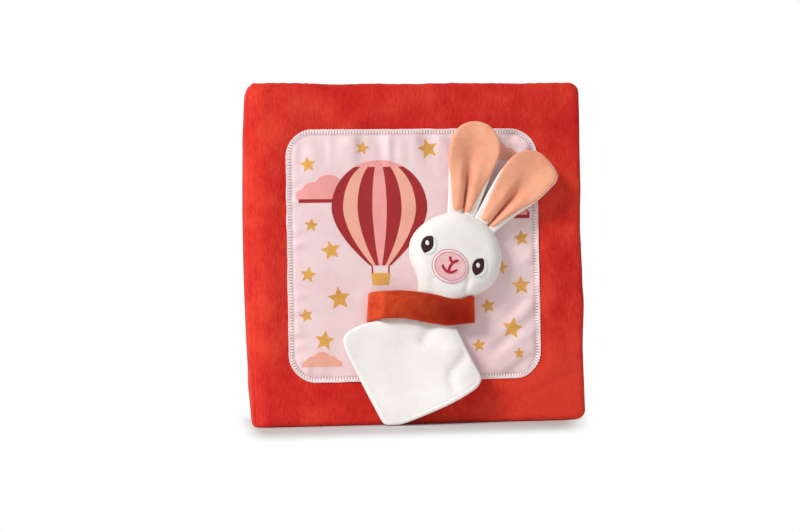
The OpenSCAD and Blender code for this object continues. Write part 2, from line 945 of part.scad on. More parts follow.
front_cover_plush();
front_cover_wadding();
front_cover_lining();
back_cover_plush();
back_cover_wadding();
back_cover_lining();
spine_plush();
spine_wadding();
spine_lining();
pages();
binding_stitches();
cover_patch();
patch_zigzag();
print_dark_red();
print_salmon();
print_pink();
print_gold();
strap();
rabbit_body();
rabbit_head();
left_ear();
left_ear_lining();
right_ear();
right_ear_lining();
left_eye();
left_eye_glints();
right_eye();
right_eye_glints();
muzzle_patch();
muzzle_stitching();
mouth_stitching();
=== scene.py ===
# Cloth activity book with a plush cover, a printed patch and a plush rabbit under a strap.
# Shapes are worked out in millimetres in the frame of the solids, and made in metres.
import math

import bpy
import numpy as np
from mathutils import Matrix, Vector
from mathutils.geometry import delaunay_2d_cdt


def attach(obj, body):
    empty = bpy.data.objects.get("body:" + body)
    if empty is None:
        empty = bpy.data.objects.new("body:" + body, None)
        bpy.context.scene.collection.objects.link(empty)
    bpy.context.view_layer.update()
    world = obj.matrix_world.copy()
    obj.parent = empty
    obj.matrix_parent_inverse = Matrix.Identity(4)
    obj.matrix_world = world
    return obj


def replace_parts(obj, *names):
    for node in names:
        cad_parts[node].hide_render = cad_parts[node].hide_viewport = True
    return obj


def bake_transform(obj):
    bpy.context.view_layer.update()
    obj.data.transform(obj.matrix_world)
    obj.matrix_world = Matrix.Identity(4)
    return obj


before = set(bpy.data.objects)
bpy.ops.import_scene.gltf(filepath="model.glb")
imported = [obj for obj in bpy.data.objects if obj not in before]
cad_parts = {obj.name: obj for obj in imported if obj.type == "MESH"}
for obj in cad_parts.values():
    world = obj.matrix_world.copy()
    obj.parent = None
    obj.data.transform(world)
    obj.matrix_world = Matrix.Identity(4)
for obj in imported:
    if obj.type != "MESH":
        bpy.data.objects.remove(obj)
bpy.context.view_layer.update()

MM = 0.001

# Book sizes in millimetres, as in the source of the solids
BOOK_W, BOOK_H, BOOK_T = 226.5, 227.0, 42.4
COVER_T, SPINE_T, SPINE_R = 9.0, 6.0, 5.7
LEFT_X, FORE_X = -BOOK_W / 2, BOOK_W / 2
FACE_Y = -12.9
BACK_Y = FACE_Y + BOOK_T
MID_Y = (FACE_Y + BACK_Y) / 2
FOLD_X = LEFT_X + SPINE_T
LEAF_COUNT, LEAF_T, LEAF_GAP, PAGE_MARGIN, BINDING_W = 4, 5.6, 0.4, 5.0, 8.0
STACK_Y = FACE_Y + COVER_T + LEAF_GAP
STACK_T = LEAF_COUNT * LEAF_T + (LEAF_COUNT - 1) * LEAF_GAP

# Patch, strap and rabbit, with the front plane of the patch and the back plane of the rabbit
PATCH_W, PATCH_H, PATCH_R, PATCH_T = 169.0, 167.5, 18.5, 0.8
PATCH_X, PATCH_Z = -1.4, 112.7
PATCH_Y = FACE_Y - PATCH_T
STRAP_T, STRAP_RISE = 3.0, 7.6
# Length of the flat foot and of the ramp at the strap's left and right end
STRAP_FEET, STRAP_RAMPS = (2.5, 0.3), (8.5, 1.6)
STRAP_X, STRAP_Z = PATCH_X + 2.3, PATCH_Z - 36.2
HEAD_X, HEAD_Z = STRAP_X + 25.5, STRAP_Z + 39.0
HEAD_TURN = 24.5
RABBIT_Y = -14.3
HEAD_T, BODY_T = 14.0, 5.0

# Camera, from the corners of the cover and the patch in the photograph
CAMERA_AT = (-0.1503, -1.1338, 0.0750)
CAMERA_RIGHT = (0.99228, -0.12277, -0.01745)
CAMERA_UP = (0.01403, -0.02864, 0.99949)
CAMERA_LENS, SENSOR_W = 76.5, 36.0


def make_camera():
    data = bpy.data.cameras.new("photo_camera")
    data.lens = CAMERA_LENS
    data.sensor_width = SENSOR_W
    data.sensor_fit = "HORIZONTAL"
    data.clip_start = 0.05
    data.clip_end = 20
    camera = bpy.data.objects.new("photo_camera", data)
    right = Vector(CAMERA_RIGHT).normalized()
    up = Vector(CAMERA_UP)
    up = (up - right * up.dot(right)).normalized()
    back = right.cross(up)
    turn = Matrix((right, up, back)).transposed().to_4x4()
    camera.matrix_world = Matrix.Translation(Vector(CAMERA_AT)) @ turn
    bpy.context.scene.collection.objects.link(camera)
    bpy.context.scene.camera = camera


make_camera()
bpy.context.scene.view_settings.view_transform = "Standard"


# Shared arithmetic

def smooth_step(value, low=0.0, high=1.0):
    share = np.clip((np.asarray(value, float) - low) / (high - low), 0, 1)
    return share * share * (3 - 2 * share)


def bell(value, width):
    return np.exp(-(np.asarray(value, float) / width) ** 2)


def noise(x, z, cell, seed):
    """Smooth noise from -1 to 1 on a square lattice of the given cell size. The seed picks the pattern."""
    table = np.random.default_rng(seed).random((97, 89)) * 2 - 1
    across = np.asarray(x, float) / cell + 500
    along = np.asarray(z, float) / cell + 500
    col = np.floor(across).astype(int)
    row = np.floor(along).astype(int)
    u = smooth_step(across - col)
    v = smooth_step(along - row)
    a = table[col % 97, row % 89]
    b = table[(col + 1) % 97, row % 89]
    c = table[col % 97, (row + 1) % 89]
    d = table[(col + 1) % 97, (row + 1) % 89]
    return (a * (1 - u) + b * u) * (1 - v) + (c * (1 - u) + d * u) * v


def turned(x, z, angle):
    a = math.radians(angle)
    return x * math.cos(a) - z * math.sin(a), x * math.sin(a) + z * math.cos(a)


def closed_curve(points, step, tension=0.5):
    """Even points along a smooth closed curve through the given ones."""
    p = np.array(points, float)
    count = len(p)
    dense = []
    for i in range(count):
        a, b, c, d = p[i - 1], p[i], p[(i + 1) % count], p[(i + 2) % count]
        m1 = (c - a) * tension
        m2 = (d - b) * tension
        for t in np.linspace(0, 1, 24, endpoint=False):
            dense.append(
                (2 * t**3 - 3 * t**2 + 1) * b + (t**3 - 2 * t**2 + t) * m1
                + (-2 * t**3 + 3 * t**2) * c + (t**3 - t**2) * m2
            )
    return even_closed(np.array(dense), step)


def even_closed(dense, step):
    """The closed line with its points spaced evenly."""
    ring = np.vstack([dense, dense[:1]])
    gaps = np.linalg.norm(np.diff(ring, axis=0), axis=1)
    along = np.concatenate([[0], np.cumsum(gaps)])
    count = max(8, int(round(along[-1] / step)))
    at = np.linspace(0, along[-1], count, endpoint=False)
    return np.stack([np.interp(at, along, ring[:, 0]), np.interp(at, along, ring[:, 1])], 1)


def quarter(cx, cz, radius, start, count):
    """Points of a quarter circle from a start angle in degrees."""
    angles = [math.radians(a) for a in np.linspace(start, start + 90, count)]
    return [(cx + radius * math.cos(a), cz + radius * math.sin(a)) for a in angles]


def split_edges(polygon, step):
    """The polygon's corners kept, with points added along its sides."""
    points = []
    for i, a in enumerate(polygon):
        b = polygon[(i + 1) % len(polygon)]
        a, b = np.array(a, float), np.array(b, float)
        parts = max(1, int(math.ceil(np.linalg.norm(b - a) / step)))
        points += [a + (b - a) * k / parts for k in range(parts)]
    return np.array(points)


def border_distance(x, z, polygon):
    """Distance to the polygon's border, positive inside."""
    p = np.stack([np.asarray(x, float).ravel(), np.asarray(z, float).ravel()], 1)
    a = np.asarray(polygon, float)
    b = np.roll(a, -1, axis=0)
    best = np.full(len(p), 1e9)
    inside = np.zeros(len(p), bool)
    for (ax, az), (bx, bz) in zip(a, b):
        dx, dz = bx - ax, bz - az
        length = dx * dx + dz * dz
        if length < 1e-12:
            continue
        t = np.clip(((p[:, 0] - ax) * dx + (p[:, 1] - az) * dz) / length, 0, 1)
        away = np.hypot(p[:, 0] - ax - t * dx, p[:, 1] - az - t * dz)
        best = np.minimum(best, away)
        crosses = (az > p[:, 1]) != (bz > p[:, 1])
        if abs(dz) > 1e-12:
            hit = ax + dx * (p[:, 1] - az) / dz
            inside ^= crosses & (p[:, 0] < hit)
    return np.where(inside, best, -best).reshape(np.shape(x))


# Height of a triangle with sides of 1
TRIANGLE_H = 0.866


def outline_mesh(outline, step, rings=()):
    """Triangles that fill an outline, with even inner points and rings of points near the border."""
    outline = np.asarray(outline, float)
    following = np.roll(outline, -1, axis=0)
    if np.sum(outline[:, 0] * following[:, 1] - following[:, 0] * outline[:, 1]) < 0:
        outline = outline[::-1]
    inner = []
    tangent = np.roll(outline, -1, axis=0) - np.roll(outline, 1, axis=0)
    tangent /= np.maximum(np.linalg.norm(tangent, axis=1), 1e-9)[:, None]
    normal = np.stack([-tangent[:, 1], tangent[:, 0]], 1)
    for depth in rings:
        ring = outline + normal * depth
        keep = border_distance(ring[:, 0], ring[:, 1], outline) > depth * 0.93
        inner.append(ring[keep])
    low, high = outline.min(0), outline.max(0)
    cols = np.arange(math.floor(low[0] / step), math.ceil(high[0] / step) + 1)
    row_step = step * TRIANGLE_H
    rows = np.arange(math.floor(low[1] / row_step), math.ceil(high[1] / row_step) + 1)
    gx, gz = np.meshgrid(cols, rows)
    grid = np.stack([((gx + 0.5 * (gz % 2)) * step).ravel(), (gz * row_step).ravel()], 1)
    clear = (max(rings) if rings else 0) + step * 0.55
    grid = grid[border_distance(grid[:, 0], grid[:, 1], outline) > clear]
    inner.append(grid)
    points = np.vstack([outline] + inner)
    count = len(outline)
    result = delaunay_2d_cdt([Vector(p) for p in points.tolist()], [], [list(range(count))], 1, 1e-6)
    flat = np.array([tuple(v) for v in result[0]], float)
    border = [-1] * count
    for new, origins in enumerate(result[3]):
        for old in origins:
            if old < count:
                border[old] = new
    border = [b for b in border if b >= 0]
    ordered = []
    for face in result[2]:
        a, b, c = [flat[i] for i in face]
        turn = (b[0] - a[0]) * (c[1] - a[1]) - (b[1] - a[1]) * (c[0] - a[0])
        ordered.append(face if turn > 0 else face[::-1])
    return flat, ordered, border


# Mesh making

def add_object(name, points, faces, body=None, shade=None):
    """A smooth mesh object. Its shade, from 0 to 1 at each point, is the share of the crease's colour:
    painted shade on the strap, in the ear's slit and in the seam's gaps, and the own paler colour of the
    muzzle's band and the eye rim's edge.
    """
    mesh = bpy.data.meshes.new(name)
    mesh.from_pydata((np.asarray(points, float) * MM).tolist(), [], faces)
    mesh.shade_smooth()
    if shade is not None:
        layer = mesh.attributes.new("shade", "FLOAT", "POINT")
        layer.data.foreach_set("value", np.clip(shade, 0, 1).astype(np.float32))
    obj = bpy.data.objects.new(name, mesh)
    bpy.context.scene.collection.objects.link(obj)
    if body:
        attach(obj, body)
    return obj


def two_sided(outline, step, front, back, rings=()):
    """Closed points and faces between a front and a back surface, both functions of x, z that give y.
    The front is the lower y."""
    flat, triangles, border = outline_mesh(outline, step, rings)
    x, z = flat[:, 0], flat[:, 1]
    count = len(flat)
    top = np.stack([x, front(x, z), z], 1)
    bottom = np.stack([x, back(x, z), z], 1)
    faces = [tuple(t) for t in triangles]
    faces += [tuple(count + i for i in reversed(t)) for t in triangles]
    size = len(border)
    for i in range(size):
        a, b = border[i], border[(i + 1) % size]
        faces.append((b, a, a + count, b + count))
    return np.vstack([top, bottom]), faces


def edge_roll(distance, radius):
    """Rise from 0 at the border to 1 at the radius, along a round edge."""
    share = np.clip(1 - np.asarray(distance, float) / radius, 0, 1)
    return np.sqrt(np.maximum(0, 1 - share**2))


def roll_rings(radius, angles=(14, 27, 40, 54, 70)):
    """Depths from the border at which points follow a round edge."""
    return [radius * (1 - math.cos(math.radians(a))) for a in angles]


def ring_faces(count, sides, closed=False):
    """Faces that join rings of points, and close the first and the last ring unless they are joined too."""
    faces = []
    for i in range(count if closed else count - 1):
        j = (i + 1) % count
        for k in range(sides):
            m = (k + 1) % sides
            faces.append((i * sides + k, i * sides + m, j * sides + m, j * sides + k))
    if not closed:
        faces.append(tuple(range(sides - 1, -1, -1)))
        faces.append(tuple((count - 1) * sides + k for k in range(sides)))
    return faces


def tube(path, radius, sides=6, closed=False, squash=1.0, normals=None):
    """Points and faces of a tube along a path."""
    path = np.asarray(path, float)
    count = len(path)
    if closed:
        ahead, behind = np.roll(path, -1, axis=0), np.roll(path, 1, axis=0)
    else:
        ahead = np.vstack([path[1:], path[-1:]])
        behind = np.vstack([path[:1], path[:-1]])
    direction = ahead - behind
    direction /= np.maximum(np.linalg.norm(direction, axis=1), 1e-9)[:, None]
    out = np.tile([0.0, -1.0, 0.0], (count, 1)) if normals is None else normals
    side = np.cross(direction, out)
    side /= np.maximum(np.linalg.norm(side, axis=1), 1e-9)[:, None]
    out = np.cross(side, direction)
    radius = np.broadcast_to(np.asarray(radius, float), (count,))
    points = []
    for k in range(sides):
        a = 2 * math.pi * k / sides
        points.append(path + (side * math.cos(a) + out * math.sin(a) * squash) * radius[:, None])
    return np.stack(points, 1).reshape(-1, 3), ring_faces(count, sides, closed)


def joined(parts):
    """Points and faces of several pieces put in one mesh."""
    points, faces, start = [], [], 0
    for p, f in parts:
        points.append(np.asarray(p, float))
        faces += [tuple(i + start for i in face) for face in f]
        start += len(p)
    return np.vstack(points), faces


# Materials

# Materials by their names, as the materials below fill it
MAT = {}
# Sockets of a mix node that mixes colours
MIX_SHARE, MIX_FIRST, MIX_SECOND, MIX_RESULT = 0, 6, 7, 2


def linear(colour):
    """Linear colour and full alpha of an 8 bit screen colour."""
    parts = [c / 255 / 12.92 if c <= 10 else ((c / 255 + 0.055) / 1.055) ** 2.4 for c in colour]
    return (*parts, 1)


class Nodes:
    """Short calls for the node tree of a material."""

    def __init__(self, name):
        self.name = name
        self.material = bpy.data.materials.new(name)
        self.material.use_nodes = True
        self.tree = self.material.node_tree
        self.tree.nodes.clear()
        self.shader = self.add("ShaderNodeBsdfPrincipled")
        self.out = self.add("ShaderNodeOutputMaterial", links={"Surface": self.shader.outputs[0]})
        self.place = self.add("ShaderNodeTexCoord").outputs["Object"]

    def join(self, a, b):
        self.tree.links.new(a, b)

    def add(self, kind, values=(), links=()):
        """A new node, with values and links given by the names of its inputs."""
        node = self.tree.nodes.new(kind)
        for name, value in dict(values).items():
            node.inputs[name].default_value = value
        for name, source in dict(links).items():
            self.join(source, node.inputs[name])
        return node

    def noise(self, scale, detail, rough, place=None, distortion=0.0):
        values = {"Scale": scale, "Detail": detail, "Roughness": rough, "Distortion": distortion}
        return self.add("ShaderNodeTexNoise", values, {"Vector": place or self.place}).outputs["Fac"]

    def wave(self, scale, direction, distortion):
        values = {"Scale": scale, "Distortion": distortion}
        node = self.add("ShaderNodeTexWave", values, {"Vector": self.place})
        node.wave_type = "BANDS"
        node.bands_direction = direction
        return node.outputs["Fac"]

    def axis(self, name):
        return self.add("ShaderNodeSeparateXYZ", links={0: self.place}).outputs[name]

    def math(self, how, a, b):
        node = self.add("ShaderNodeMath")
        node.operation = how
        for socket, value in zip(node.inputs, (a, b)):
            if hasattr(value, "links"):
                self.join(value, socket)
            else:
                socket.default_value = value
        return node.outputs[0]

    def weighted(self, parts):
        """Sum of values, each times its share."""
        total = 0.0
        for value, share in parts:
            total = self.math("ADD", total, self.math("MULTIPLY", value, share))
        return total

    def ramp(self, value, stops):
        node = self.add("ShaderNodeValToRGB", links={0: value})
        elements = node.color_ramp.elements
        while len(elements) < len(stops):
            elements.new(0.5)
        for element, (at, colour) in zip(elements, stops):
            element.position = at
            element.color = linear(colour)
        return node.outputs[0]

    def painted_shade_and_marks(self, colour, crease):
        """The colour, turned to the crease's colour where the mesh has a shade: painted shade on the strap,
        in the ear's slit and in the seam's gaps, own paler colour on the muzzle's band and the eye rim's
        edge.
        """
        if crease is None:
            return colour
        shade = self.add("ShaderNodeAttribute")
        shade.attribute_name = "shade"
        mix = self.add("ShaderNodeMix")
        mix.data_type = "RGBA"
        self.join(shade.outputs["Fac"], mix.inputs[MIX_SHARE])
        self.join(colour, mix.inputs[MIX_FIRST])
        mix.inputs[MIX_SECOND].default_value = linear(crease)
        return mix.outputs[MIX_RESULT]

    def bump(self, height, distance, strength, below=None):
        """Relief with a depth in millimetres, on top of the relief below it."""
        links = {"Height": height}
        if below is not None:
            links["Normal"] = below
        return self.add("ShaderNodeBump", {"Distance": distance * MM, "Strength": strength}, links).outputs[0]

    def finish(self, colour, bump, roughness, specular, sheen, tint, sheen_rough):
        """Sets the shader and keeps the material by its name."""
        self.join(colour, self.shader.inputs["Base Color"])
        self.join(bump, self.shader.inputs["Normal"])
        values = {"Roughness": roughness, "Specular IOR Level": specular, "Sheen Weight": sheen,
                  "Sheen Tint": (*tint, 1), "Sheen Roughness": sheen_rough}
        for name, value in values.items():
            self.shader.inputs[name].default_value = value
        MAT[self.name] = self.material


WHITE = (1, 1, 1)


def plush(name, colours, area, pile, relief, sheen, tint, crease, painted_light_slopes=None):
    """Short pile cloth: broad areas of uneven nap, upright streaks of pile and single fibre tips, and painted
    light slopes where given.
    """
    n = Nodes(name)
    broad = n.noise(area, 2, 0.5, distortion=0.4)
    patches = n.noise(area * 4, 2, 0.5)
    upright = n.add("ShaderNodeMapping", {"Scale": (1, 1, 0.3)}, {"Vector": n.place}).outputs[0]
    streaks = n.noise(pile * 0.8, 2, 0.55, upright)
    clumps = n.noise(pile * 0.4, 2, 0.55)
    tips = n.noise(pile * 1.3, 1, 0.5)
    parts = [(broad, 0.5), (patches, 0.28), (streaks, 0.22)]
    if painted_light_slopes:
        # Painted light: the colour turns a little lighter or deeper to the left, to the right and downwards,
        # as the lamps' falloff across the cloth would make it
        to_left, to_right, down = painted_light_slopes
        parts.append((n.math("MINIMUM", n.axis("X"), 0), to_left))
        parts.append((n.math("MAXIMUM", n.axis("X"), 0), to_right))
        parts.append((n.math("SUBTRACT", BOOK_H / 2 * MM, n.axis("Z")), down))
    colour = n.painted_shade_and_marks(n.ramp(n.weighted(parts), list(zip((0.4, 0.5, 0.6), colours))), crease)
    lower = n.bump(clumps, relief, 0.7)
    middle = n.bump(streaks, relief * 0.6, 0.7, lower)
    bump = n.bump(tips, relief * 0.3, 0.6, middle)
    n.finish(colour, bump, 0.95, 0.12, sheen, tint, 0.45)


def woven(name, base, shaded, threads=2600.0, height=0.05, roughness=0.7, sheen=0.1, specular=0.3,
          crease=None):
    """Plain weave: two crossing sets of threads with slightly uneven colour."""
    n = Nodes(name)
    weave = n.math("MULTIPLY", n.wave(threads * 0.16, "X", 0.4), n.wave(threads * 0.16, "Z", 0.4))
    tone = n.weighted([(n.noise(60, 3, 0.6), 0.7), (n.noise(900, 2, 0.5), 0.3)])
    colour = n.painted_shade_and_marks(n.ramp(tone, [(0.36, shaded), (0.56, base)]), crease)
    n.finish(colour, n.bump(weave, height, 0.7), roughness, specular, sheen, WHITE, 0.5)


def thread(name, base, dark, scale=1500.0, sheen=0.25):
    """Twisted thread: fine slanted strands."""
    n = Nodes(name)
    strands = n.wave(scale * 0.3, "DIAGONAL", 1.2)
    tone = n.weighted([(strands, 0.6), (n.noise(scale, 2, 0.5), 0.4)])
    colour = n.ramp(tone, [(0.2, dark), (0.6, base)])
    n.finish(colour, n.bump(strands, 0.07, 0.7), 0.5, 0.4, sheen, WHITE, 0.4)


def stitched(name, base, dark, light, direction, crease=None, shine=0.5):
    """Satin stitch: close parallel threads in one direction."""
    n = Nodes(name)
    rows = n.wave(420.0, direction, 0.8)
    tone = n.weighted([(rows, 0.65), (n.noise(1400, 2, 0.5), 0.35)])
    colour = n.painted_shade_and_marks(n.ramp(tone, [(0.15, dark), (0.5, base), (0.85, light)]), crease)
    n.finish(colour, n.bump(rows, 0.16, 0.8), 0.5, shine, 0.2 * shine, WHITE, 0.4)


# Each plush has its deep, middle and light colour, scale of its broad nap areas and of its pile, relief,
# sheen with its tint, colour in its creases (painted shade on the strap and in the ear's slit, own paler
# colour on the muzzle's band), and for two of them painted light slopes
plush("plush_red", [(202, 32, 32), (216, 48, 40), (229, 66, 48)], 16, 900, 0.8, 0.3, (1.0, 0.4, 0.26),
      (150, 8, 14), painted_light_slopes=(0.0, 0.5, 0.3))
woven("lining_cloth", (245, 215, 215), (242, 211, 212))
woven("page_cloth", (248, 236, 230), (245, 232, 226))
thread("binding_thread", (226, 130, 120), (186, 84, 78))
# The satin's crease colour is painted shade in the gaps of the zigzag seam
woven("patch_satin", (247, 219, 220), (243, 211, 214), 3400, 0.03, 0.5, 0.1, 0.4, (204, 160, 172))
thread("seam_thread", (255, 246, 245), (255, 236, 235), 1900, 0.3)
woven("print_dark_red", (168, 38, 42), (158, 32, 38), 3400, 0.03, 0.5, 0.03)
woven("print_salmon", (248, 180, 160), (243, 172, 152), 3400, 0.03, 0.5, 0.03)
woven("print_pink", (249, 168, 165), (244, 160, 158), 3400, 0.03, 0.5, 0.03)
woven("print_gold", (236, 176, 84), (210, 150, 66), 3400, 0.03, 0.45, 0.03, 0.4)
# The strap's crease colour is painted shade along the band, and its slopes are painted light: lighter to the
# left, deeper to the right
plush("strap_velour", [(186, 50, 24), (204, 66, 34), (218, 84, 46)], 44, 1500, 0.2, 0.22, (1.0, 0.45, 0.28),
      (128, 12, 8), painted_light_slopes=(-0.6, -0.6, 0.0))
plush("rabbit_plush", [(248, 244, 239), (250, 247, 243), (252, 250, 247)], 40, 1300, 0.2, 0.06, WHITE,
      (214, 206, 200))
# The ear's crease colour is painted shade in its slit
plush("ear_velour", [(247, 170, 136), (251, 177, 143), (253, 184, 151)], 60, 1700, 0.16, 0.15,
      (1.0, 0.85, 0.78), (150, 58, 40))
stitched("eye_thread", (48, 12, 26), (24, 4, 12), (84, 34, 50), "X", shine=0.2)
stitched("glint_thread", (254, 255, 254), (250, 252, 250), (255, 255, 255), "X", crease=(206, 228, 222))
plush("muzzle_cloth", [(243, 190, 192), (248, 200, 201), (252, 208, 208)], 80, 1700, 0.12, 0.1, (1, 0.9, 0.9),
      (255, 238, 238))
stitched("muzzle_thread", (222, 156, 168), (206, 132, 148), (240, 184, 192), "DIAGONAL")
stitched("mouth_thread", (190, 16, 44), (164, 8, 34), (212, 50, 74), "Z", shine=0.25)


def dress(obj, slot):
    obj.data.materials.clear()
    obj.data.materials.append(MAT[slot])
    return obj


# Relief of the front of the cover, shared by the plush, the patch, the print and the seam

def patch_outline(grow, step):
    """Rounded rectangle of the patch, as even points from the right end of its lower side."""
    w, h, r = PATCH_W / 2 + grow, PATCH_H / 2 + grow, PATCH_R + grow
    points = quarter(w - r, -h + r, r, -90, 16) + quarter(w - r, h - r, r, 0, 16)
    points += quarter(-w + r, h - r, r, 90, 16) + quarter(-w + r, -h + r, r, 180, 16)
    dense = split_edges([(PATCH_X + x, PATCH_Z + z) for x, z in points], 0.6)
    return even_closed(dense, step)


def patch_distance(x, z):
    """Distance inside the patch's border, negative outside it."""
    qx = np.abs(np.asarray(x, float) - PATCH_X) - (PATCH_W / 2 - PATCH_R)
    qz = np.abs(np.asarray(z, float) - PATCH_Z) - (PATCH_H / 2 - PATCH_R)
    away = np.hypot(np.maximum(qx, 0), np.maximum(qz, 0)) + np.minimum(np.maximum(qx, qz), 0)
    return PATCH_R - away


def under_rabbit(x, z):
    """1 where the rabbit or the strap lies on the patch, fading to 0 beside it."""
    x, z = np.asarray(x, float), np.asarray(z, float)
    body = np.hypot((x + 5) / 48, (z - 42) / 47)
    strap = np.hypot((x - 1) / 44, (z - 77) / 20)
    head = np.hypot((x - 25) / 38, (z - 113) / 36)
    nearest = np.minimum(np.minimum(body, strap), head)
    return 1 - smooth_step(nearest, 0.92, 1.18)


# Distance of the seam's groove inside the patch's border, its depth and its width
SEAM_IN, SEAM_DEPTH, SEAM_WIDTH = 2.2, 1.25, 2.4
# Height of the plush that puffs up beside the patch, of the patch's crown, its puckers and its slanted folds
PUFF_H, CROWN_H, PUCKER_H, FOLD_H = 0.9, 0.55, 1.5, 1.6
# Angles in degrees of the slanted folds on the right and on the left half of the patch
RIGHT_SLANT, LEFT_SLANT = -38, 24


def relief(x, z):
    """How far the front of the cover stands proud of its flat plane, in millimetres."""
    x, z = np.asarray(x, float), np.asarray(z, float)
    inside = patch_distance(x, z)
    seam = -SEAM_DEPTH * bell(inside - SEAM_IN, SEAM_WIDTH)
    puffed = PUFF_H * smooth_step(-inside, 0.5, 9) * (1 - smooth_step(-inside, 9, 26) * 0.6)
    crown = CROWN_H * smooth_step(inside, 3, 26)
    broad = 0.45 * noise(x, z, 46, 3) + 0.28 * noise(x, z, 21, 8)
    on_patch = smooth_step(inside, 0, 3)
    # Short puckers that start at the seam and die away inside the patch
    top_side = PATCH_Z + PATCH_H / 2 - z
    left_side = x - (PATCH_X - PATCH_W / 2)
    right_side = PATCH_X + PATCH_W / 2 - x
    low_side = z - (PATCH_Z - PATCH_H / 2)
    pucker = (
        (1.9 * noise(x, z * 0.2, 8.6, 21) + 0.7 * noise(x, z * 0.2, 4.4, 25)) * bell(top_side - 3, 17)
        + 1.2 * noise(z, x * 0.25, 5.2, 22) * bell(right_side - 2, 11)
        + 0.9 * noise(z, x * 0.25, 4.8, 23) * bell(left_side - 2, 9)
        + 0.9 * noise(x, z * 0.25, 4.6, 24) * bell(low_side - 2, 9)
    )
    slant_x, slant_z = turned(x, z, RIGHT_SLANT)
    folds = noise(slant_x * 0.26, slant_z, 6.5, 31) * smooth_step(x, 10, 60)
    slant_x, slant_z = turned(x, z, LEFT_SLANT)
    folds = folds + 0.5 * noise(slant_x * 0.25, slant_z, 9, 32) * (1 - smooth_step(x, -40, 20))
    soft = 0.32 * noise(x, z, 9.5, 41) * (1 - on_patch)
    wrinkles = on_patch * (PUCKER_H * pucker * smooth_step(inside, 1, 7) + FOLD_H * folds) + soft
    # A faint crease in the plush below the patch, towards the fore edge
    crease_at = (z - 12) - (x - 60) * 0.42
    crease = -0.55 * bell(crease_at, 2.6) * smooth_step(x, 48, 70) * (1 - on_patch)
    total = seam + puffed + crown + broad + wrinkles + crease
    calm = under_rabbit(x, z)
    return total * (1 - calm) + calm * np.clip(total * 0.2, -0.5, 0.15)


# Covers: one closed padded cloth each, from the middle of the spine round to the fore edge

EDGE_R = 4.2
CORNER_R = 7.0
SPINE_BULGE = 1.9
# The visible corner between the spine and the front is rounder than the padding below it
SPINE_ROUND = 2.2
SPINE_CORNER_R, SPINE_DROP, SPINE_LIFT = 8.0, 5.0, 0.7
EDGE_ANGLES = (0, 14, 28, 42, 56, 70, 90)
# The inner path in plan: its gap to the fold, the radius of its bend, and how far past the fold it evens out
FOLD_GAP, BEND_R, BEND_RUN = 0.15, 1.2, 4.0
# Share of the thickness that the rim of a cover keeps, and how square the spine stands on the floor
RIM_SHARE, FOOT_SQUARE = 0.08, 0.7
# Distance between the points of the front and of the back cover, and what the back one adds to the seeds
FRONT_STEP, BACK_STEP, BACK_SEED = 1.55, 2.3, 60


def spaced(low, high, step):
    count = max(2, int(round((high - low) / step)) + 1)
    return np.linspace(low, high, count)


def edge_depths():
    """Depths of the rows of points near a border: close together round its edge."""
    return np.concatenate([roll_rings(EDGE_R, EDGE_ANGLES), spaced(EDGE_R, CORNER_R, 0.9)[1:]])


def cloth_rows(step):
    """Heights of the rows of a cover."""
    near = edge_depths()
    middle = spaced(CORNER_R, BOOK_H - CORNER_R, step)[1:-1]
    return np.concatenate([near, middle, BOOK_H - near[::-1]])


def cloth_paths(step):
    """Outer and inner path of a front half in plan: the spine from its middle line, the fold, the cover."""
    outer, inner = [], []
    inner_x, inner_y = FOLD_X - FOLD_GAP, FACE_Y + COVER_T
    spine_rows = spaced(MID_Y, inner_y + 0.6, 1.7)
    for y in spine_rows:
        outer.append((LEFT_X, y))
        inner.append((inner_x, y))
    corner_x, corner_y = LEFT_X + SPINE_R, FACE_Y + SPINE_R
    outer += [(LEFT_X, y) for y in spaced(spine_rows[-1], corner_y, 1.4)[1:-1]]
    outer += quarter(corner_x, corner_y, SPINE_R, 180, 11)
    # The inner side only has a small radius here, so its points sit close together
    turn_count = len(outer) - len(inner)
    for k in range(turn_count):
        t = math.radians(180 + 90 * (k + 0.5) / turn_count)
        inner.append((inner_x + BEND_R + BEND_R * math.cos(t), inner_y + BEND_R + BEND_R * math.sin(t)))
    even_x, bend_end = FOLD_X + BEND_RUN, inner_x + BEND_R
    for x in spaced(corner_x, even_x, 0.55)[1:]:
        share = (x - corner_x) / (even_x - corner_x)
        outer.append((x, FACE_Y))
        inner.append((bend_end + share * (even_x - bend_end), inner_y))
    across = np.concatenate([spaced(even_x, FORE_X - CORNER_R, step)[1:], FORE_X - edge_depths()[::-1][1:]])
    outer += [(x, FACE_Y) for x in across]
    inner += [(x, inner_y) for x in across]
    return np.array(outer), np.array(inner)


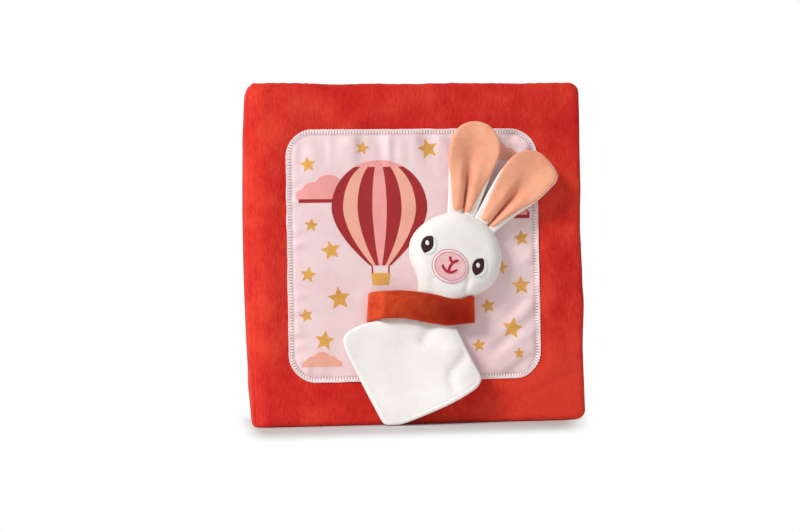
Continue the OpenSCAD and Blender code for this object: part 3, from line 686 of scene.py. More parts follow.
def cover_cloth(step):
    """Outer x and y, inner x and y, z and share of the full thickness, as grids of columns and rows of points
    before any relief."""
    outer, inner = cloth_paths(step)
    rows = cloth_rows(step)
    ox, oy, ix, iy = [np.tile(values[:, None], len(rows)) for values in (*outer.T, *inner.T)]
    z = np.tile(rows, (len(outer), 1))
    # Distance from the border, with the two corners at the fore edge rounded in plan
    a = np.clip(1 - (FORE_X - ox) / CORNER_R, 0, 1)
    b = np.clip(1 - np.minimum(z, BOOK_H - z) / CORNER_R, 0, 1)
    a_in = a * np.sqrt(1 - b * b / 2)
    b_in = b * np.sqrt(1 - a * a / 2)
    distance = CORNER_R * (1 - np.hypot(a_in, b_in))
    corner = (a > 0) & (b > 0)
    shift_x = np.where(corner, CORNER_R * (a_in - a), 0)
    shift_z = np.where(corner, CORNER_R * (b_in - b), 0) * np.where(z > BOOK_H / 2, 1, -1)
    ox, ix, z = ox + shift_x, ix + shift_x, z + shift_z
    share = RIM_SHARE + (1 - RIM_SHARE) * edge_roll(distance, EDGE_R)
    # The lower end of the spine stands almost square on the floor
    square = FOOT_SQUARE * (1 - smooth_step(ox, LEFT_X + 2, LEFT_X + 26)) * (z < BOOK_H / 2)
    share = share ** (1 - square)
    mid_x, mid_y = (ox + ix) / 2, (oy + iy) / 2
    ox, ix = mid_x + (ox - mid_x) * share, mid_x + (ix - mid_x) * share
    oy, iy = mid_y + (oy - mid_y) * share, mid_y + (iy - mid_y) * share
    return ox, oy, ix, iy, z, share


def grid_faces(cols, rows, start, flip):
    faces = []
    for i in range(cols - 1):
        for j in range(rows - 1):
            a = start + i * rows + j
            quad = (a, a + rows, a + rows + 1, a + 1)
            faces.append(quad[::-1] if flip else quad)
    return faces


def cover_faces(cols, rows, is_front):
    """Faces of the outer and the inner grid of a cover, and of the rim that joins them."""
    count = cols * rows
    faces = grid_faces(cols, rows, 0, not is_front) + grid_faces(cols, rows, count, is_front)
    rim_loop = [i * rows for i in range(cols)]
    rim_loop += [(cols - 1) * rows + j for j in range(1, rows)]
    rim_loop += [i * rows + rows - 1 for i in range(cols - 2, -1, -1)]
    rim_loop += [j for j in range(rows - 2, 0, -1)]
    for a, b in zip(rim_loop, rim_loop[1:] + rim_loop[:1]):
        quad = (b, a, a + count, b + count)
        faces.append(quad if is_front else quad[::-1])
    return faces


def sharpen(mesh, points):
    """Marks the edges between some of the mesh's points as sharp."""
    flags = [edge.vertices[0] in points and edge.vertices[1] in points for edge in mesh.edges]
    mesh.attributes.new("sharp_edge", "BOOLEAN", "EDGE").data.foreach_set("value", flags)


def outward(ox, oy):
    """Direction away from the padding on the outer side: -x on the spine, -y on the cover, and between them
    round the corner."""
    corner_x, corner_y = LEFT_X + SPINE_R, FACE_Y + SPINE_R
    away_x = np.where(ox < corner_x, ox - corner_x, 0)
    away_y = np.where((oy < corner_y) | (ox > corner_x), -1.0 * np.maximum(corner_y - oy, 1e-3), 0)
    length = np.maximum(np.hypot(away_x, away_y), 1e-6)
    return away_x / length, away_y / length


def back_relief(x, z):
    """How far the outer side of the back cover stands proud of its flat plane."""
    waves = 0.9 + 0.55 * noise(x, z, 48, 61) + 0.3 * noise(x, z, 20, 62) + 0.3 * noise(x, z, 9.5, 63)
    return waves * smooth_step(np.minimum(FORE_X - x, np.minimum(z, BOOK_H - z)), 2, 16)


def spine_relief(run, oy, z, by_height, seed):
    """How far the spine stands proud of its flat plane."""
    waves = 0.5 * noise(run, z, 24, 71 + seed) + 0.3 * noise(oy, z * 0.6, 9, 72)
    waves = waves * smooth_step(MID_Y - oy, 0, 7)
    across = np.clip((MID_Y - oy) / (MID_Y - FACE_Y), 0, 1)
    return waves + SPINE_BULGE * by_height * np.cos(across * math.pi / 2) ** 0.8


def inner_wave(x, z, seed):
    """Wave of the inner side of a cover, which its lining follows."""
    return 0.25 * noise(x, z, 30, 81 + seed) * smooth_step(x, FOLD_X + 4, FOLD_X + 16)


def wavy_border(run, ox, oy, z, seed, is_front):
    """Heights with the uneven ends that soft cloth has, and how far the fore edge waves."""
    from_end = np.minimum(z, BOOK_H - z)
    wave = 0.5 * noise(run, z * 0, 34, 91 + seed) + 0.3 * noise(run, z * 0, 12, 92 + seed)
    wave = wave * (1 - smooth_step(from_end, 0, 22))
    if is_front:
        wave = wave * smooth_step(run, LEFT_X - 18, LEFT_X - 4)
    wave = wave * smooth_step(MID_Y - oy, 0, 8)
    fuzz = 0.22 * noise(run, oy, 2.3, 97 + seed) * (1 - smooth_step(from_end, 0, 3))
    z = z + np.where(z < BOOK_H / 2, np.abs(wave) * 0.25 + np.abs(fuzz) * 0.6, wave * 0.9 + fuzz)
    fore = 0.8 * noise(z, z * 0, 40, 95 + seed) + 0.35 * noise(z, z * 0, 13, 96)
    return z, fore * smooth_step(ox, FORE_X - 30, FORE_X)


def make_cover(name, step, is_front):
    """A padded cover with its half of the spine. The back one is the mirror image, with other wrinkles."""
    ox, oy, ix, iy, z, share = cover_cloth(step)
    cols, rows = z.shape
    seed = 0 if is_front else BACK_SEED
    away_x, away_y = outward(ox, oy)
    # Place along the outer side, which goes on round the corner to the spine
    run = np.where(ox < LEFT_X + SPINE_R, FACE_Y + SPINE_R - oy + LEFT_X, ox)
    fade_edge = smooth_step(share, 0.25, 0.95)
    by_height = np.sin(math.pi * np.clip(z / BOOK_H, 0, 1)) ** 0.8
    on_face = relief(ox, z) if is_front else back_relief(ox, z)
    on_spine = spine_relief(run, oy, z, by_height, seed)
    pulled_in = 1.5 - 1.3 * by_height + 1.7 * np.clip(1 - z / BOOK_H, 0, 1) ** 1.3
    # The corner between the spine and the front is pulled in, so that it turns in a wide arc
    pulled_in = pulled_in + SPINE_ROUND * bell(oy - FACE_Y - 1.2, 5.0) * smooth_step(MID_Y - oy, 2, 10)
    face_part = smooth_step(ox, LEFT_X + 1, LEFT_X + 14)
    pulled_in = pulled_in * (1 - face_part)
    ix = ix - away_x * pulled_in * (1 - share)
    iy = iy - away_y * pulled_in * (1 - share)
    lift = (on_face * face_part + on_spine * (1 - face_part)) * fade_edge - pulled_in
    beside_spine = np.clip((LEFT_X + SPINE_CORNER_R - ox) / SPINE_CORNER_R, 0, 1)
    ox = ox + away_x * lift
    oy = oy + away_y * lift
    iy = iy + inner_wave(ix, z, seed) * fade_edge - 0.1 * fade_edge
    z, fore_wave = wavy_border(run, ox, oy, z, seed, is_front)
    ox, ix = ox + fore_wave, ix + fore_wave
    if is_front:
        # The upper edge dips a little near the spine, and the two lower corners lift off the floor
        rise = 0.5 + 0.6 * smooth_step(ox, 0, 70) - 0.7 * bell(ox + 50, 16)
        lifted = 0.3 * smooth_step(ox, 88, 112) ** 1.5 * (1 - smooth_step(z, 0, 30))
        z = z + rise * smooth_step(z, BOOK_H - 30, BOOK_H) + lifted
    # The upper and the lower corner at the spine are rounded
    rounded = 1 - np.sqrt(1 - beside_spine**2)
    z = z - SPINE_DROP * rounded * smooth_step(z, BOOK_H - 40, BOOK_H)
    z = z + SPINE_LIFT * rounded * (1 - smooth_step(z, 0, 40))
    if not is_front:
        oy, iy = 2 * MID_Y - oy, 2 * MID_Y - iy
    outer = np.stack([ox.ravel(), oy.ravel(), z.ravel()], 1)
    inner = np.stack([ix.ravel(), iy.ravel(), z.ravel()], 1)
    obj = add_object(name, np.vstack([outer, inner]), cover_faces(cols, rows, is_front))
    # A crisp edge at the spine's middle line, where the two halves meet
    sharpen(obj.data, {*range(rows), *range(cols * rows, cols * rows + rows)})
    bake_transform(obj)
    dress(obj, "plush_red")
    return obj


front_cloth = make_cover("front_cloth", FRONT_STEP, True)
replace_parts(front_cloth, "front_cover_plush", "front_cover_wadding", "spine_plush")
back_cloth = make_cover("back_cloth", BACK_STEP, False)
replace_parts(back_cloth, "back_cover_plush", "back_cover_wadding", "spine_wadding", "spine_lining")


def leaf_outline(low_x, high_x, low_z, high_z, radius):
    """Rectangle with square corners at the spine and rounded ones at the fore edge."""
    points = quarter(high_x - radius, low_z + radius, radius, -90, 8)
    points += quarter(high_x - radius, high_z - radius, radius, 0, 8)
    return split_edges([(low_x, low_z), *points, (low_x, high_z)], 1.0)


def make_lining(name, is_front):
    """Thin cloth on the inner side of a cover, with a turned edge that stands a little proud."""
    inset, corner_r = 5.0, 5.0
    low_x, high_x = FOLD_X + 3.5, FORE_X - inset
    outline = even_closed(leaf_outline(low_x, high_x, inset, BOOK_H - inset, corner_r), 4.0)
    seed = 0 if is_front else BACK_SEED
    base = FACE_Y + COVER_T

    def face(x, z):
        edge = border_distance(x, z, outline)
        seam = -0.25 * bell(edge - 2.6, 0.9)
        return base + inner_wave(x, z, seed) + 0.14 + seam + 0.06 * smooth_step(edge, 0, 1.5)

    def hidden(x, z):
        return np.full_like(x, base - 0.6)

    points, faces = two_sided(outline, 4.0, hidden, face, [0.6, 1.6, 2.6, 3.6])
    if not is_front:
        points[:, 1] = 2 * MID_Y - points[:, 1]
        faces = [f[::-1] for f in faces]
    obj = add_object(name, points, faces)
    body = "front_cover" if is_front else "back_cover"
    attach(obj, body)
    dress(obj, "lining_cloth")
    return obj


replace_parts(make_lining("front_lining", True), "front_cover_lining")
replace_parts(make_lining("back_lining", False), "back_cover_lining")


# Leaves

def make_leaf(index):
    """A padded leaf: flat cloth on both sides, sewn round its edge with a channel."""
    low_y = STACK_Y + index * (LEAF_T + LEAF_GAP)
    mid = low_y + LEAF_T / 2
    low_x, high_x = FOLD_X + 0.6, FORE_X - PAGE_MARGIN - 0.4 * index
    low_z, high_z = PAGE_MARGIN + 0.5, BOOK_H - PAGE_MARGIN - 0.5
    corner_r = 6.0
    outline = even_closed(leaf_outline(low_x, high_x, low_z, high_z, corner_r), 3.0)

    def half(x, z):
        edge = border_distance(x, z, outline)
        rolled = edge_roll(edge, 2.6)
        channel = 1 - 0.42 * bell(edge - 5.0, 1.3)
        bound = 1 - 0.25 * (1 - smooth_step(x, FOLD_X + 3, FOLD_X + 12))
        soft = 0.95 + 0.05 * noise(x, z, 26, 100 + index)
        return np.maximum(0.2, (LEAF_T / 2) * rolled * channel * bound * soft)

    return two_sided(outline, 4.4, lambda x, z: mid - half(x, z), lambda x, z: mid + half(x, z),
                     [0.35, 1.0, 2.0, 3.2, 4.1, 5.0, 5.9, 7.0])


def make_leaves():
    parts = [make_leaf(i) for i in range(LEAF_COUNT)]
    # The sewn edge that holds the leaves at the spine, with rounded long edges
    low_x, high_x = FOLD_X + 0.05, FOLD_X + BINDING_W
    low_y, high_y = STACK_Y + 0.25, STACK_Y + STACK_T - 0.25
    r = 1.6
    profile = quarter(high_x - r, low_y + r, r, -90, 5) + quarter(high_x - r, high_y - r, r, 0, 5)
    profile += quarter(low_x + r, high_y - r, r, 90, 5) + quarter(low_x + r, low_y + r, r, 180, 5)
    profile = np.array(profile)
    middle = profile.mean(0)
    heights = np.linspace(PAGE_MARGIN + 0.8, BOOK_H - PAGE_MARGIN - 0.8, 60)
    points = []
    for k, height in enumerate(heights):
        is_end = k in (0, len(heights) - 1)
        pull = 0.9 if is_end else 0.985 + 0.015 * math.cos(k * 1.7)
        points += [(*(middle + (p - middle) * pull), height) for p in profile]
    parts.append((points, ring_faces(len(heights), len(profile))))
    points, faces = joined(parts)
    obj = add_object("leaves", points, faces, body="book_block")
    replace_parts(obj, "pages")
    dress(obj, "page_cloth")


make_leaves()


def make_binding():
    """Running stitches in front of the first leaf and behind the last one, at the spine."""
    pitch, length, radius, bow_h = 10.0, 6.0, 0.32, 0.62
    run = BOOK_H - 2 * PAGE_MARGIN - 2 * pitch
    count = int(run // pitch)
    first = BOOK_H / 2 - (count - 1) * pitch / 2 - length / 2
    parts = []
    for y, sign in ((STACK_Y, -1), (STACK_Y + STACK_T, 1)):
        share = np.linspace(0, 1, 9)
        stitch_x = np.full(9, FOLD_X + BINDING_W / 2 + 0.6)
        stitch_y = y - sign * 0.5 + sign * bow_h * np.sin(share * math.pi) ** 0.5
        normals = np.tile([0.0, float(sign), 0.0], (9, 1))
        for i in range(count):
            path = np.stack([stitch_x, stitch_y, first + i * pitch + length * share], 1)
            parts.append(tube(path, radius, 6, normals=normals))
    points, faces = joined(parts)
    obj = add_object("binding", points, faces, body="book_block")
    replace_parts(obj, "binding_stitches")
    dress(obj, "binding_thread")


make_binding()


# Patch, print and zigzag seam

def front_y(x, z, lift):
    """The y of the front of the patch with everything on it, at a small lift over the cloth."""
    return PATCH_Y - relief(x, z) - lift


def make_patch():
    outline = patch_outline(0.0, 1.3)
    wavy = outline.copy()
    middle = np.array([PATCH_X, PATCH_Z])
    out = (outline - middle) / np.linalg.norm(outline - middle, axis=1)[:, None]
    wavy += out * (0.35 * noise(outline[:, 0], outline[:, 1], 9, 51))[:, None]

    def top(x, z):
        edge = border_distance(x, z, wavy)
        return front_y(x, z, 0) + 0.45 * (1 - smooth_step(edge, 0, 0.9))

    def bottom(x, z):
        return FACE_Y - relief(x, z) + 0.25

    points, faces = two_sided(wavy, 1.35, top, bottom, [0.3, 0.8, 1.5, 2.2, 2.9, 3.6, 4.3])
    # Painted shade in the gaps between the seam's threads: a darker band under the inner half of the zigzag
    edge = border_distance(points[:, 0], points[:, 2], wavy)
    gaps = 0.6 * smooth_step(edge, 1.2, 2.0) * (1 - smooth_step(edge, 3.4, 4.1))
    obj = add_object("patch", points, faces, body="front_cover", shade=gaps)
    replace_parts(obj, "cover_patch")
    dress(obj, "patch_satin")
    return obj


patch = make_patch()


def decal(outline, lift):
    """A field of colour that follows the cloth of the patch, and reaches a little into it."""
    return two_sided(outline, 1.35, lambda x, z: front_y(x, z, lift), lambda x, z: front_y(x, z, -0.15))


def patch_point(share):
    """A point given as shares of the patch's width and height from its middle."""
    return np.array([PATCH_X + share[0] * PATCH_W, PATCH_Z + share[1] * PATCH_H])


# Place of each star on the patch, its size and its turn in degrees
STARS = [
    (-0.415, 0.36, 0.7, 8), (-0.2, 0.425, 0.62, -12), (0.06, 0.42, 0.9, 14), (-0.405, 0.12, 0.6, -6),
    (-0.33, 0.02, 0.85, 12), (-0.42, -0.075, 0.7, -10), (-0.3, -0.17, 1, 6), (-0.43, -0.235, 0.62, 15),
    (-0.36, -0.335, 0.85, -8), (0.43, 0.06, 0.72, 10), (0.345, -0.055, 0.62, -14), (0.425, -0.13, 0.85, 4),
    (0.29, -0.21, 0.66, 12), (0.385, -0.3, 0.95, -10), (0.25, -0.365, 0.6, 6), (0.41, -0.4, 0.5, 0),
]
STAR_W, STAR_INNER = 16.0, 0.46
BALLOON = (-0.135, 0.185)
BALLOON_R, BALLOON_MOUTH, BALLOON_DROP = 32.0, 7.0, 38.0
BALLOON_TOP = BALLOON_R * 0.86
GORE_EDGES = (-1, -0.76, -0.46, -0.15, 0.15, 0.46, 0.76, 1)
CLOUD_R = 10.0
# Longest side between the points of a printed outline
PRINT_STEP = 1.3
# Lift of each field over the cloth: fields that overlap lie at different lifts
SHADOW_LIFT, FLAT_LIFT, CLOUD_LIFT, BASKET_LIFT, BALLOON_LIFT = 0.07, 0.12, 0.13, 0.15, 0.17


def star_outline(x, z, size, turn):
    middle = patch_point((x, z))
    points = []
    for k in range(10):
        radius = STAR_W / 2 * size * (1 if k % 2 == 0 else STAR_INNER)
        a = math.radians(90 + turn + 36 * k)
        points.append((middle[0] + radius * math.cos(a), middle[1] + radius * math.sin(a)))
    return split_edges(points, 1.2)


def balloon_half(z):
    """Half width of the balloon at a height over its middle."""
    if z >= 0:
        return math.sqrt(max(0.0, BALLOON_R**2 - z**2))
    share = min(1.0, -z / BALLOON_DROP)
    return BALLOON_MOUTH + (BALLOON_R - BALLOON_MOUTH) * (1 - share**1.7)


def gore_outline(index):
    """One upright stripe of the balloon."""
    left, right = GORE_EDGES[index:index + 2]
    zs = np.linspace(-BALLOON_DROP, BALLOON_TOP, 46)
    middle = patch_point(BALLOON)
    points = [(middle[0] + right * balloon_half(z), middle[1] + z) for z in zs]
    points += [(middle[0] + left * balloon_half(z), middle[1] + z) for z in zs[::-1]]
    return split_edges(points, PRINT_STEP)


def crown_outline():
    """The cap over the balloon's stripes."""
    middle = patch_point(BALLOON)
    start = math.atan2(BALLOON_TOP, balloon_half(BALLOON_TOP))
    angles = np.linspace(start, math.pi - start, 15)
    points = middle + BALLOON_R * np.stack([np.cos(angles), np.sin(angles)], 1)
    return split_edges(points, PRINT_STEP)


def cloud_outline(x, z, size, shift=(0, 0)):
    """Puffs side by side on a flat lower side, as one outline."""
    r = CLOUD_R * size
    middle = patch_point((x, z)) + np.array(shift)
    puffs = [(0, 0, r), (1.05 * r, -0.2 * r, 0.72 * r), (-1.05 * r, -0.2 * r, 0.72 * r),
             (1.75 * r, -0.42 * r, 0.45 * r), (-1.75 * r, -0.42 * r, 0.45 * r)]
    low = -0.62 * r
    tops, lows = [], []
    for x in np.linspace(-2.2 * r, 2.2 * r, 90):
        reach = [(cz, math.sqrt(pr**2 - (x - cx) ** 2)) for cx, cz, pr in puffs if abs(x - cx) < pr]
        if not reach:
            continue
        high = max(cz + half for cz, half in reach)
        under = max(low, min(cz - half for cz, half in reach))
        if high - under > 0.15:
            tops.append((middle[0] + x, middle[1] + high))
            lows.append((middle[0] + x, middle[1] + under))
    return even_closed(split_edges(lows + tops[::-1], 0.4), 1.1)


def strip_outline(a, b, width):
    a, b = np.array(a, float), np.array(b, float)
    side = np.array([-(b - a)[1], (b - a)[0]])
    side = side / np.linalg.norm(side) * width / 2
    return split_edges([a - side, b - side, b + side, a + side], PRINT_STEP)


# Place of each cloud on the patch and its size, and how far the shadow of a pink one is shifted
PINK_CLOUDS = [(-0.335, 0.26, 1.0), (0.33, 0.19, 0.98)]
SALMON_CLOUDS = [(-0.37, -0.415, 0.62), (0.34, 0.4, 0.75)]
CLOUD_SHADOW = (1.6, -2.4)
# Size of the basket, its middle below the balloon's, and the half width of its lower side as a share
BASKET_W, BASKET_H, BASKET_DROP, BASKET_FOOT = 13.0, 8.0, 47.0, 0.42


def make_print(name, node, slot, shapes):
    """Flat fields of one colour, each a shape and its lift over the cloth."""
    points, faces = joined([decal(outline, lift) for outline, lift in shapes])
    obj = add_object(name, points, faces, body="front_cover")
    obj.data.set_sharp_from_angle(angle=math.radians(50))
    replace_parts(obj, node)
    dress(obj, slot)
    return obj


def make_prints():
    """A balloon with its basket, clouds and stars, in place of the picture on the patch."""
    middle = patch_point(BALLOON)
    low = middle[1] - BASKET_DROP - BASKET_H / 2
    foot, side = BASKET_W * BASKET_FOOT, BASKET_W / 2
    dark = [(cloud_outline(*cloud, CLOUD_SHADOW), SHADOW_LIFT) for cloud in PINK_CLOUDS]
    dark += [(gore_outline(i), BALLOON_LIFT) for i in (0, 2, 4, 6)]
    for sign in (-1, 1):
        rope_top = (middle[0] + sign * BALLOON_MOUTH * 0.8, middle[1] - BALLOON_DROP)
        rope_foot = (middle[0] + sign * foot, low + BASKET_H - 0.4)
        dark.append((strip_outline(rope_top, rope_foot, 1.0), FLAT_LIFT))
    salmon = [(gore_outline(i), BALLOON_LIFT) for i in (1, 5)]
    salmon += [(cloud_outline(*cloud), FLAT_LIFT) for cloud in SALMON_CLOUDS]
    pink = [(gore_outline(3), BALLOON_LIFT), (crown_outline(), BALLOON_LIFT)]
    pink += [(cloud_outline(*cloud), CLOUD_LIFT) for cloud in PINK_CLOUDS]
    basket = [(middle[0] - foot, low), (middle[0] + foot, low),
              (middle[0] + side, low + BASKET_H), (middle[0] - side, low + BASKET_H)]
    gold = [(star_outline(*star), FLAT_LIFT) for star in STARS]
    gold.append((split_edges(basket, PRINT_STEP), BASKET_LIFT))
    return [
        make_print("dark_red_print", "print_dark_red", "print_dark_red", dark),
        make_print("salmon_print", "print_salmon", "print_salmon", salmon),
        make_print("pink_print", "print_pink", "print_pink", pink),
        make_print("gold_print", "print_gold", "print_gold", gold),
    ]


prints = make_prints()


def make_zigzag():
    """The seam that holds the patch: a thread that swings to both sides of a line inside the border."""
    width, pitch, radius = 4.0, 1.9, 0.5
    centre = patch_outline(-(width / 2 - 0.1), 0.25)
    ahead = np.roll(centre, -2, axis=0) - np.roll(centre, 2, axis=0)
    ahead /= np.linalg.norm(ahead, axis=1)[:, None]
    side = np.stack([ahead[:, 1], -ahead[:, 0]], 1)
    gaps = np.linalg.norm(np.roll(centre, -1, axis=0) - centre, axis=1)
    length = gaps.sum()
    teeth = int(round(length / pitch))
    along = np.concatenate([[0], np.cumsum(gaps)[:-1]]) / length * teeth
    per_tooth = 12
    steps = np.arange(teeth * per_tooth) / per_tooth
    cx, cz, sx, sz = [np.interp(steps, along, values, period=teeth) for values in (*centre.T, *side.T)]
    share = steps % 1.0
    # The thread stays longer at the outer side, where it makes a closed white rim
    swing = np.clip(1.75 * (2 * np.abs(2 * share - 1) - 1) + 0.8, -1, 1)
    swing = np.sin(swing * math.pi / 2) * 0.5 + swing * 0.5
    uneven = 1 + 0.07 * noise(steps, steps * 0, 2.5, 53)
    reach = swing * (width / 2 - radius) * uneven
    x, z = cx + sx * reach, cz + sz * reach
    dip = 0.3 * smooth_step(-swing, 0.6, 1.0)
    path = np.stack([x, front_y(x, z, 0.3) + dip, z], 1)
    points, faces = tube(path, radius * (1 - 0.18 * np.abs(swing)), 6, closed=True)
    # Satin thread lies flat on the cloth
    laid = front_y(points[:, 0], points[:, 2], 0.3)
    points[:, 1] = laid + 0.5 * (points[:, 1] - laid)
    obj = add_object("zigzag", points, faces, body="front_cover")
    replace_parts(obj, "patch_zigzag")
    dress(obj, "seam_thread")
    return obj


zigzag = make_zigzag()


# Strap

# Upper and lower edge of the strap, from its end at the spine's side to the other end
STRAP_TOP = [
    (-33.4, 86.6), (-32.0, 88.2), (-24.0, 88.7), (-11.4, 89.0), (0.0, 87.9), (13.9, 85.2), (21.0, 83.6),
    (28.2, 82.2), (30.5, 83.2), (33.5, 84.5), (38.2, 84.2),
]
STRAP_LOW = [
    (-33.4, 67.9), (-29.0, 69.3), (-23.2, 70.6), (-11.8, 70.6), (-2.3, 69.0), (7.2, 66.7), (18.7, 64.9),
    (26.3, 65.7), (33.0, 66.2), (38.2, 66.6),
]


def smooth_line(x, knots):
    """Height of a smooth line through the knots."""
    knots = np.array(knots, float)
    dense = np.linspace(knots[0, 0], knots[-1, 0], 200)
    height = np.interp(dense, knots[:, 0], knots[:, 1])
    kernel = np.hanning(19)
    padded = np.concatenate([np.full(9, height[0]), height, np.full(9, height[-1])])
    return np.interp(x, dense, np.convolve(padded, kernel / kernel.sum(), "valid"))


def make_strap():
    """A folded velour band, sewn down at its two ends and lifted over the neck."""
    first_x, last_x = STRAP_TOP[0][0], STRAP_TOP[-1][0]
    close_x = last_x - 5
    along = np.linspace(first_x, close_x, 120, endpoint=False)
    along = np.concatenate([along, np.linspace(close_x, last_x, 26)])
    from_end = np.minimum(along - first_x, last_x - along)
    # The left end lies flat and rises in a ramp, the right end stands up almost to its seam
    at_right = smooth_step(along, 0, 10)
    foot = STRAP_FEET[0] * (1 - at_right) + STRAP_FEET[1] * at_right
    ramp = STRAP_RAMPS[0] * (1 - at_right) + STRAP_RAMPS[1] * at_right
    rise = STRAP_RISE * smooth_step((from_end - foot) / ramp)
    tops, lows = smooth_line(along, STRAP_TOP), smooth_line(along, STRAP_LOW)
    # The section is an oval flattened to a band. c goes from -1 to 1 across it, front is 1 on its front
    count = 48
    angles = 2 * math.pi * np.arange(count) / count
    c, through = np.cos(angles), np.sin(angles)
    c = np.sign(c) * np.abs(c) ** 0.35
    front = 0.5 + 0.5 * np.sign(through) * np.abs(through) ** 0.62
    x, gap, up, top, low = [values[:, None] for values in (along, from_end, rise, tops, lows)]
    end = edge_roll(gap, 1.5)
    thick = STRAP_T * (0.35 + 0.65 * end)
    z = (top + low) / 2 + c * (top - low) / 2 * (0.95 + 0.05 * end)
    curl = 0.9 * np.abs(c) ** 3 * smooth_step(up, 0, 3)
    roll = 0.25 * noise(x * 0.6, c * 9, 6, 131) * smooth_step(gap, 0, 6)
    swell = 0.9 * bell(c + 0.3 - 0.015 * x, 0.5) * bell(x + 9, 20)
    hollow = 1.2 * bell(c + 0.1, 0.75) * bell(x - 21, 10)
    # The left end is turned under and plump, the right end folds over in a small flap
    turn_in = 1.5 * bell(x - first_x - 3.4, 4.2)
    flap = 0.9 * smooth_step(x, 24.0, 33.0) - 0.5 * bell(x - 24.5, 4.0)
    y = PATCH_Y - up - thick * front + (curl - roll - swell + hollow - turn_in - flap) * front
    # The left end slants out at its foot
    slant = -0.75 * bell(x - first_x, 6)
    points = np.stack([x - slant * c, y, z], 2).reshape(-1, 3)
    # Painted shade along the band: deeper towards the right and across its middle, as where it turns from the
    # lamp, and lighter at its rims and at its right end as painted light
    painted_shade_along = 0.85 * smooth_step(x, -26, 26) * (1 - 0.85 * bell(x - last_x, 4.0))
    sides = 1 - 0.75 * smooth_step(np.abs(c), 0.86, 1.0)
    shade = [*(painted_shade_along * sides * (0.75 + 0.25 * bell(c + 0.2, 0.7))).ravel(), 0.0, 0.0]
    faces = []
    for i in range(len(along) - 1):
        for k in range(count):
            m = (k + 1) % count
            faces.append((i * count + k, (i + 1) * count + k, (i + 1) * count + m, i * count + m))
    first, last = len(points), len(points) + 1
    points = np.vstack([points, points[:count].mean(0), points[-count:].mean(0)])
    base = (len(along) - 1) * count
    for k in range(count):
        m = (k + 1) % count
        faces.append((k, m, first))
        faces.append((base + m, base + k, last))
    obj = add_object("strap_band", points, faces, body="front_cover", shade=shade)
    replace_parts(obj, "strap")
    dress(obj, "strap_velour")
    return obj


make_strap()


# Rabbit

BODY_OUTLINE = [
    (-49.9, 55.4), (-49.3, 59.4), (-46.4, 62.4), (-40.9, 65.4), (-33.5, 68.0), (-16, 73.6), (-2, 78.6),
    (5, 80.2), (12, 79.2), (19.5, 74.5), (25.6, 63.4), (29.6, 53.4), (33.8, 44.2), (39.2, 33.9),
    (40.3, 30.1), (39.0, 26.3), (35.1, 22.4), (24.7, 16.4), (13.7, 11.2), (0.8, 5.9), (-12.1, 1.3),
    (-18.5, 0.7), (-23.3, 1.0), (-26.2, 3.2), (-32.8, 16.2), (-39.5, 30.2), (-45.2, 42.0), (-48.6, 50.0),
]


def line_distance(x, z, line):
    """Distance to an open line of points."""
    x, z = np.asarray(x, float), np.asarray(z, float)
    best = np.full(x.shape, 1e9)
    for (ax, az), (bx, bz) in zip(line[:-1], line[1:]):
        dx, dz = bx - ax, bz - az
        t = np.clip(((x - ax) * dx + (z - az) * dz) / (dx * dx + dz * dz), 0, 1)
        best = np.minimum(best, np.hypot(x - ax - t * dx, z - az - t * dz))
    return best


# Line, height and width of the fold and the ridge below the strap, and of the fold at the right side
BODY_FOLDS = [
    ([(7.6, 73.4), (7.4, 67.4), (6.4, 61.4), (3.6, 55.9)], -1.9, 3.8),
    ([(13.5, 71.4), (15.5, 63.4), (21.5, 51.4)], 1.3, 7.0),
    ([(33.5, 47.2), (26.5, 41.0), (21.2, 35.2), (19.4, 30.0), (21.6, 24.6)], -1.6, 3.6),
]
# Radius of the body's rolled edge, and how far its underside rises there
BODY_EDGE, BODY_UNDER = 1.9, 1.1
# How far the lower corner and the right side of the body stand off the cover
CORNER_STAND, SIDE_STAND = 9.0, 7.5
# Middle, radius and height of its broad swells and its hollow
BODY_SWELLS = [(-18, 66, 12, 1.0), (32, 32, 7, 0.5), (-35, 52, 7, -1.1), (-5, 36, 18, 0.7)]


def body_surface(outline):
    """The thickness of the body as a function of x and z."""
    def thickness(x, z):
        edge = border_distance(x, z, outline)
        rolled = edge_roll(edge, BODY_EDGE)
        folds = 0
        for line, height, width in BODY_FOLDS:
            folds = folds + height * bell(line_distance(x, z, line), width)
        for cx, cz, width, height in BODY_SWELLS:
            folds = folds + height * bell(np.hypot(x - cx, z - cz), width)
        lower_right = smooth_step((x + 6) * 0.42 - (z - 4) * 0.9, -6, 2)
        hem = -0.6 * bell(edge - 3.1, 0.55) * (0.1 + 0.9 * lower_right) * (1 - smooth_step(z, 48, 60))
        dome = 0.5 * smooth_step(edge, 3, 18) + 0.25 * noise(x, z, 15, 142)
        # The cloth is pressed down under the strap
        pressed = 1 - 0.22 * smooth_step(z, 66, 74)
        folds = folds * (1 - smooth_step(z, 67, 73))
        soft = (dome + folds) * smooth_step(edge, 0.5, 5)
        return np.maximum(0.25, rolled * (BODY_T * 0.8 * pressed + soft + hem))
    return thickness


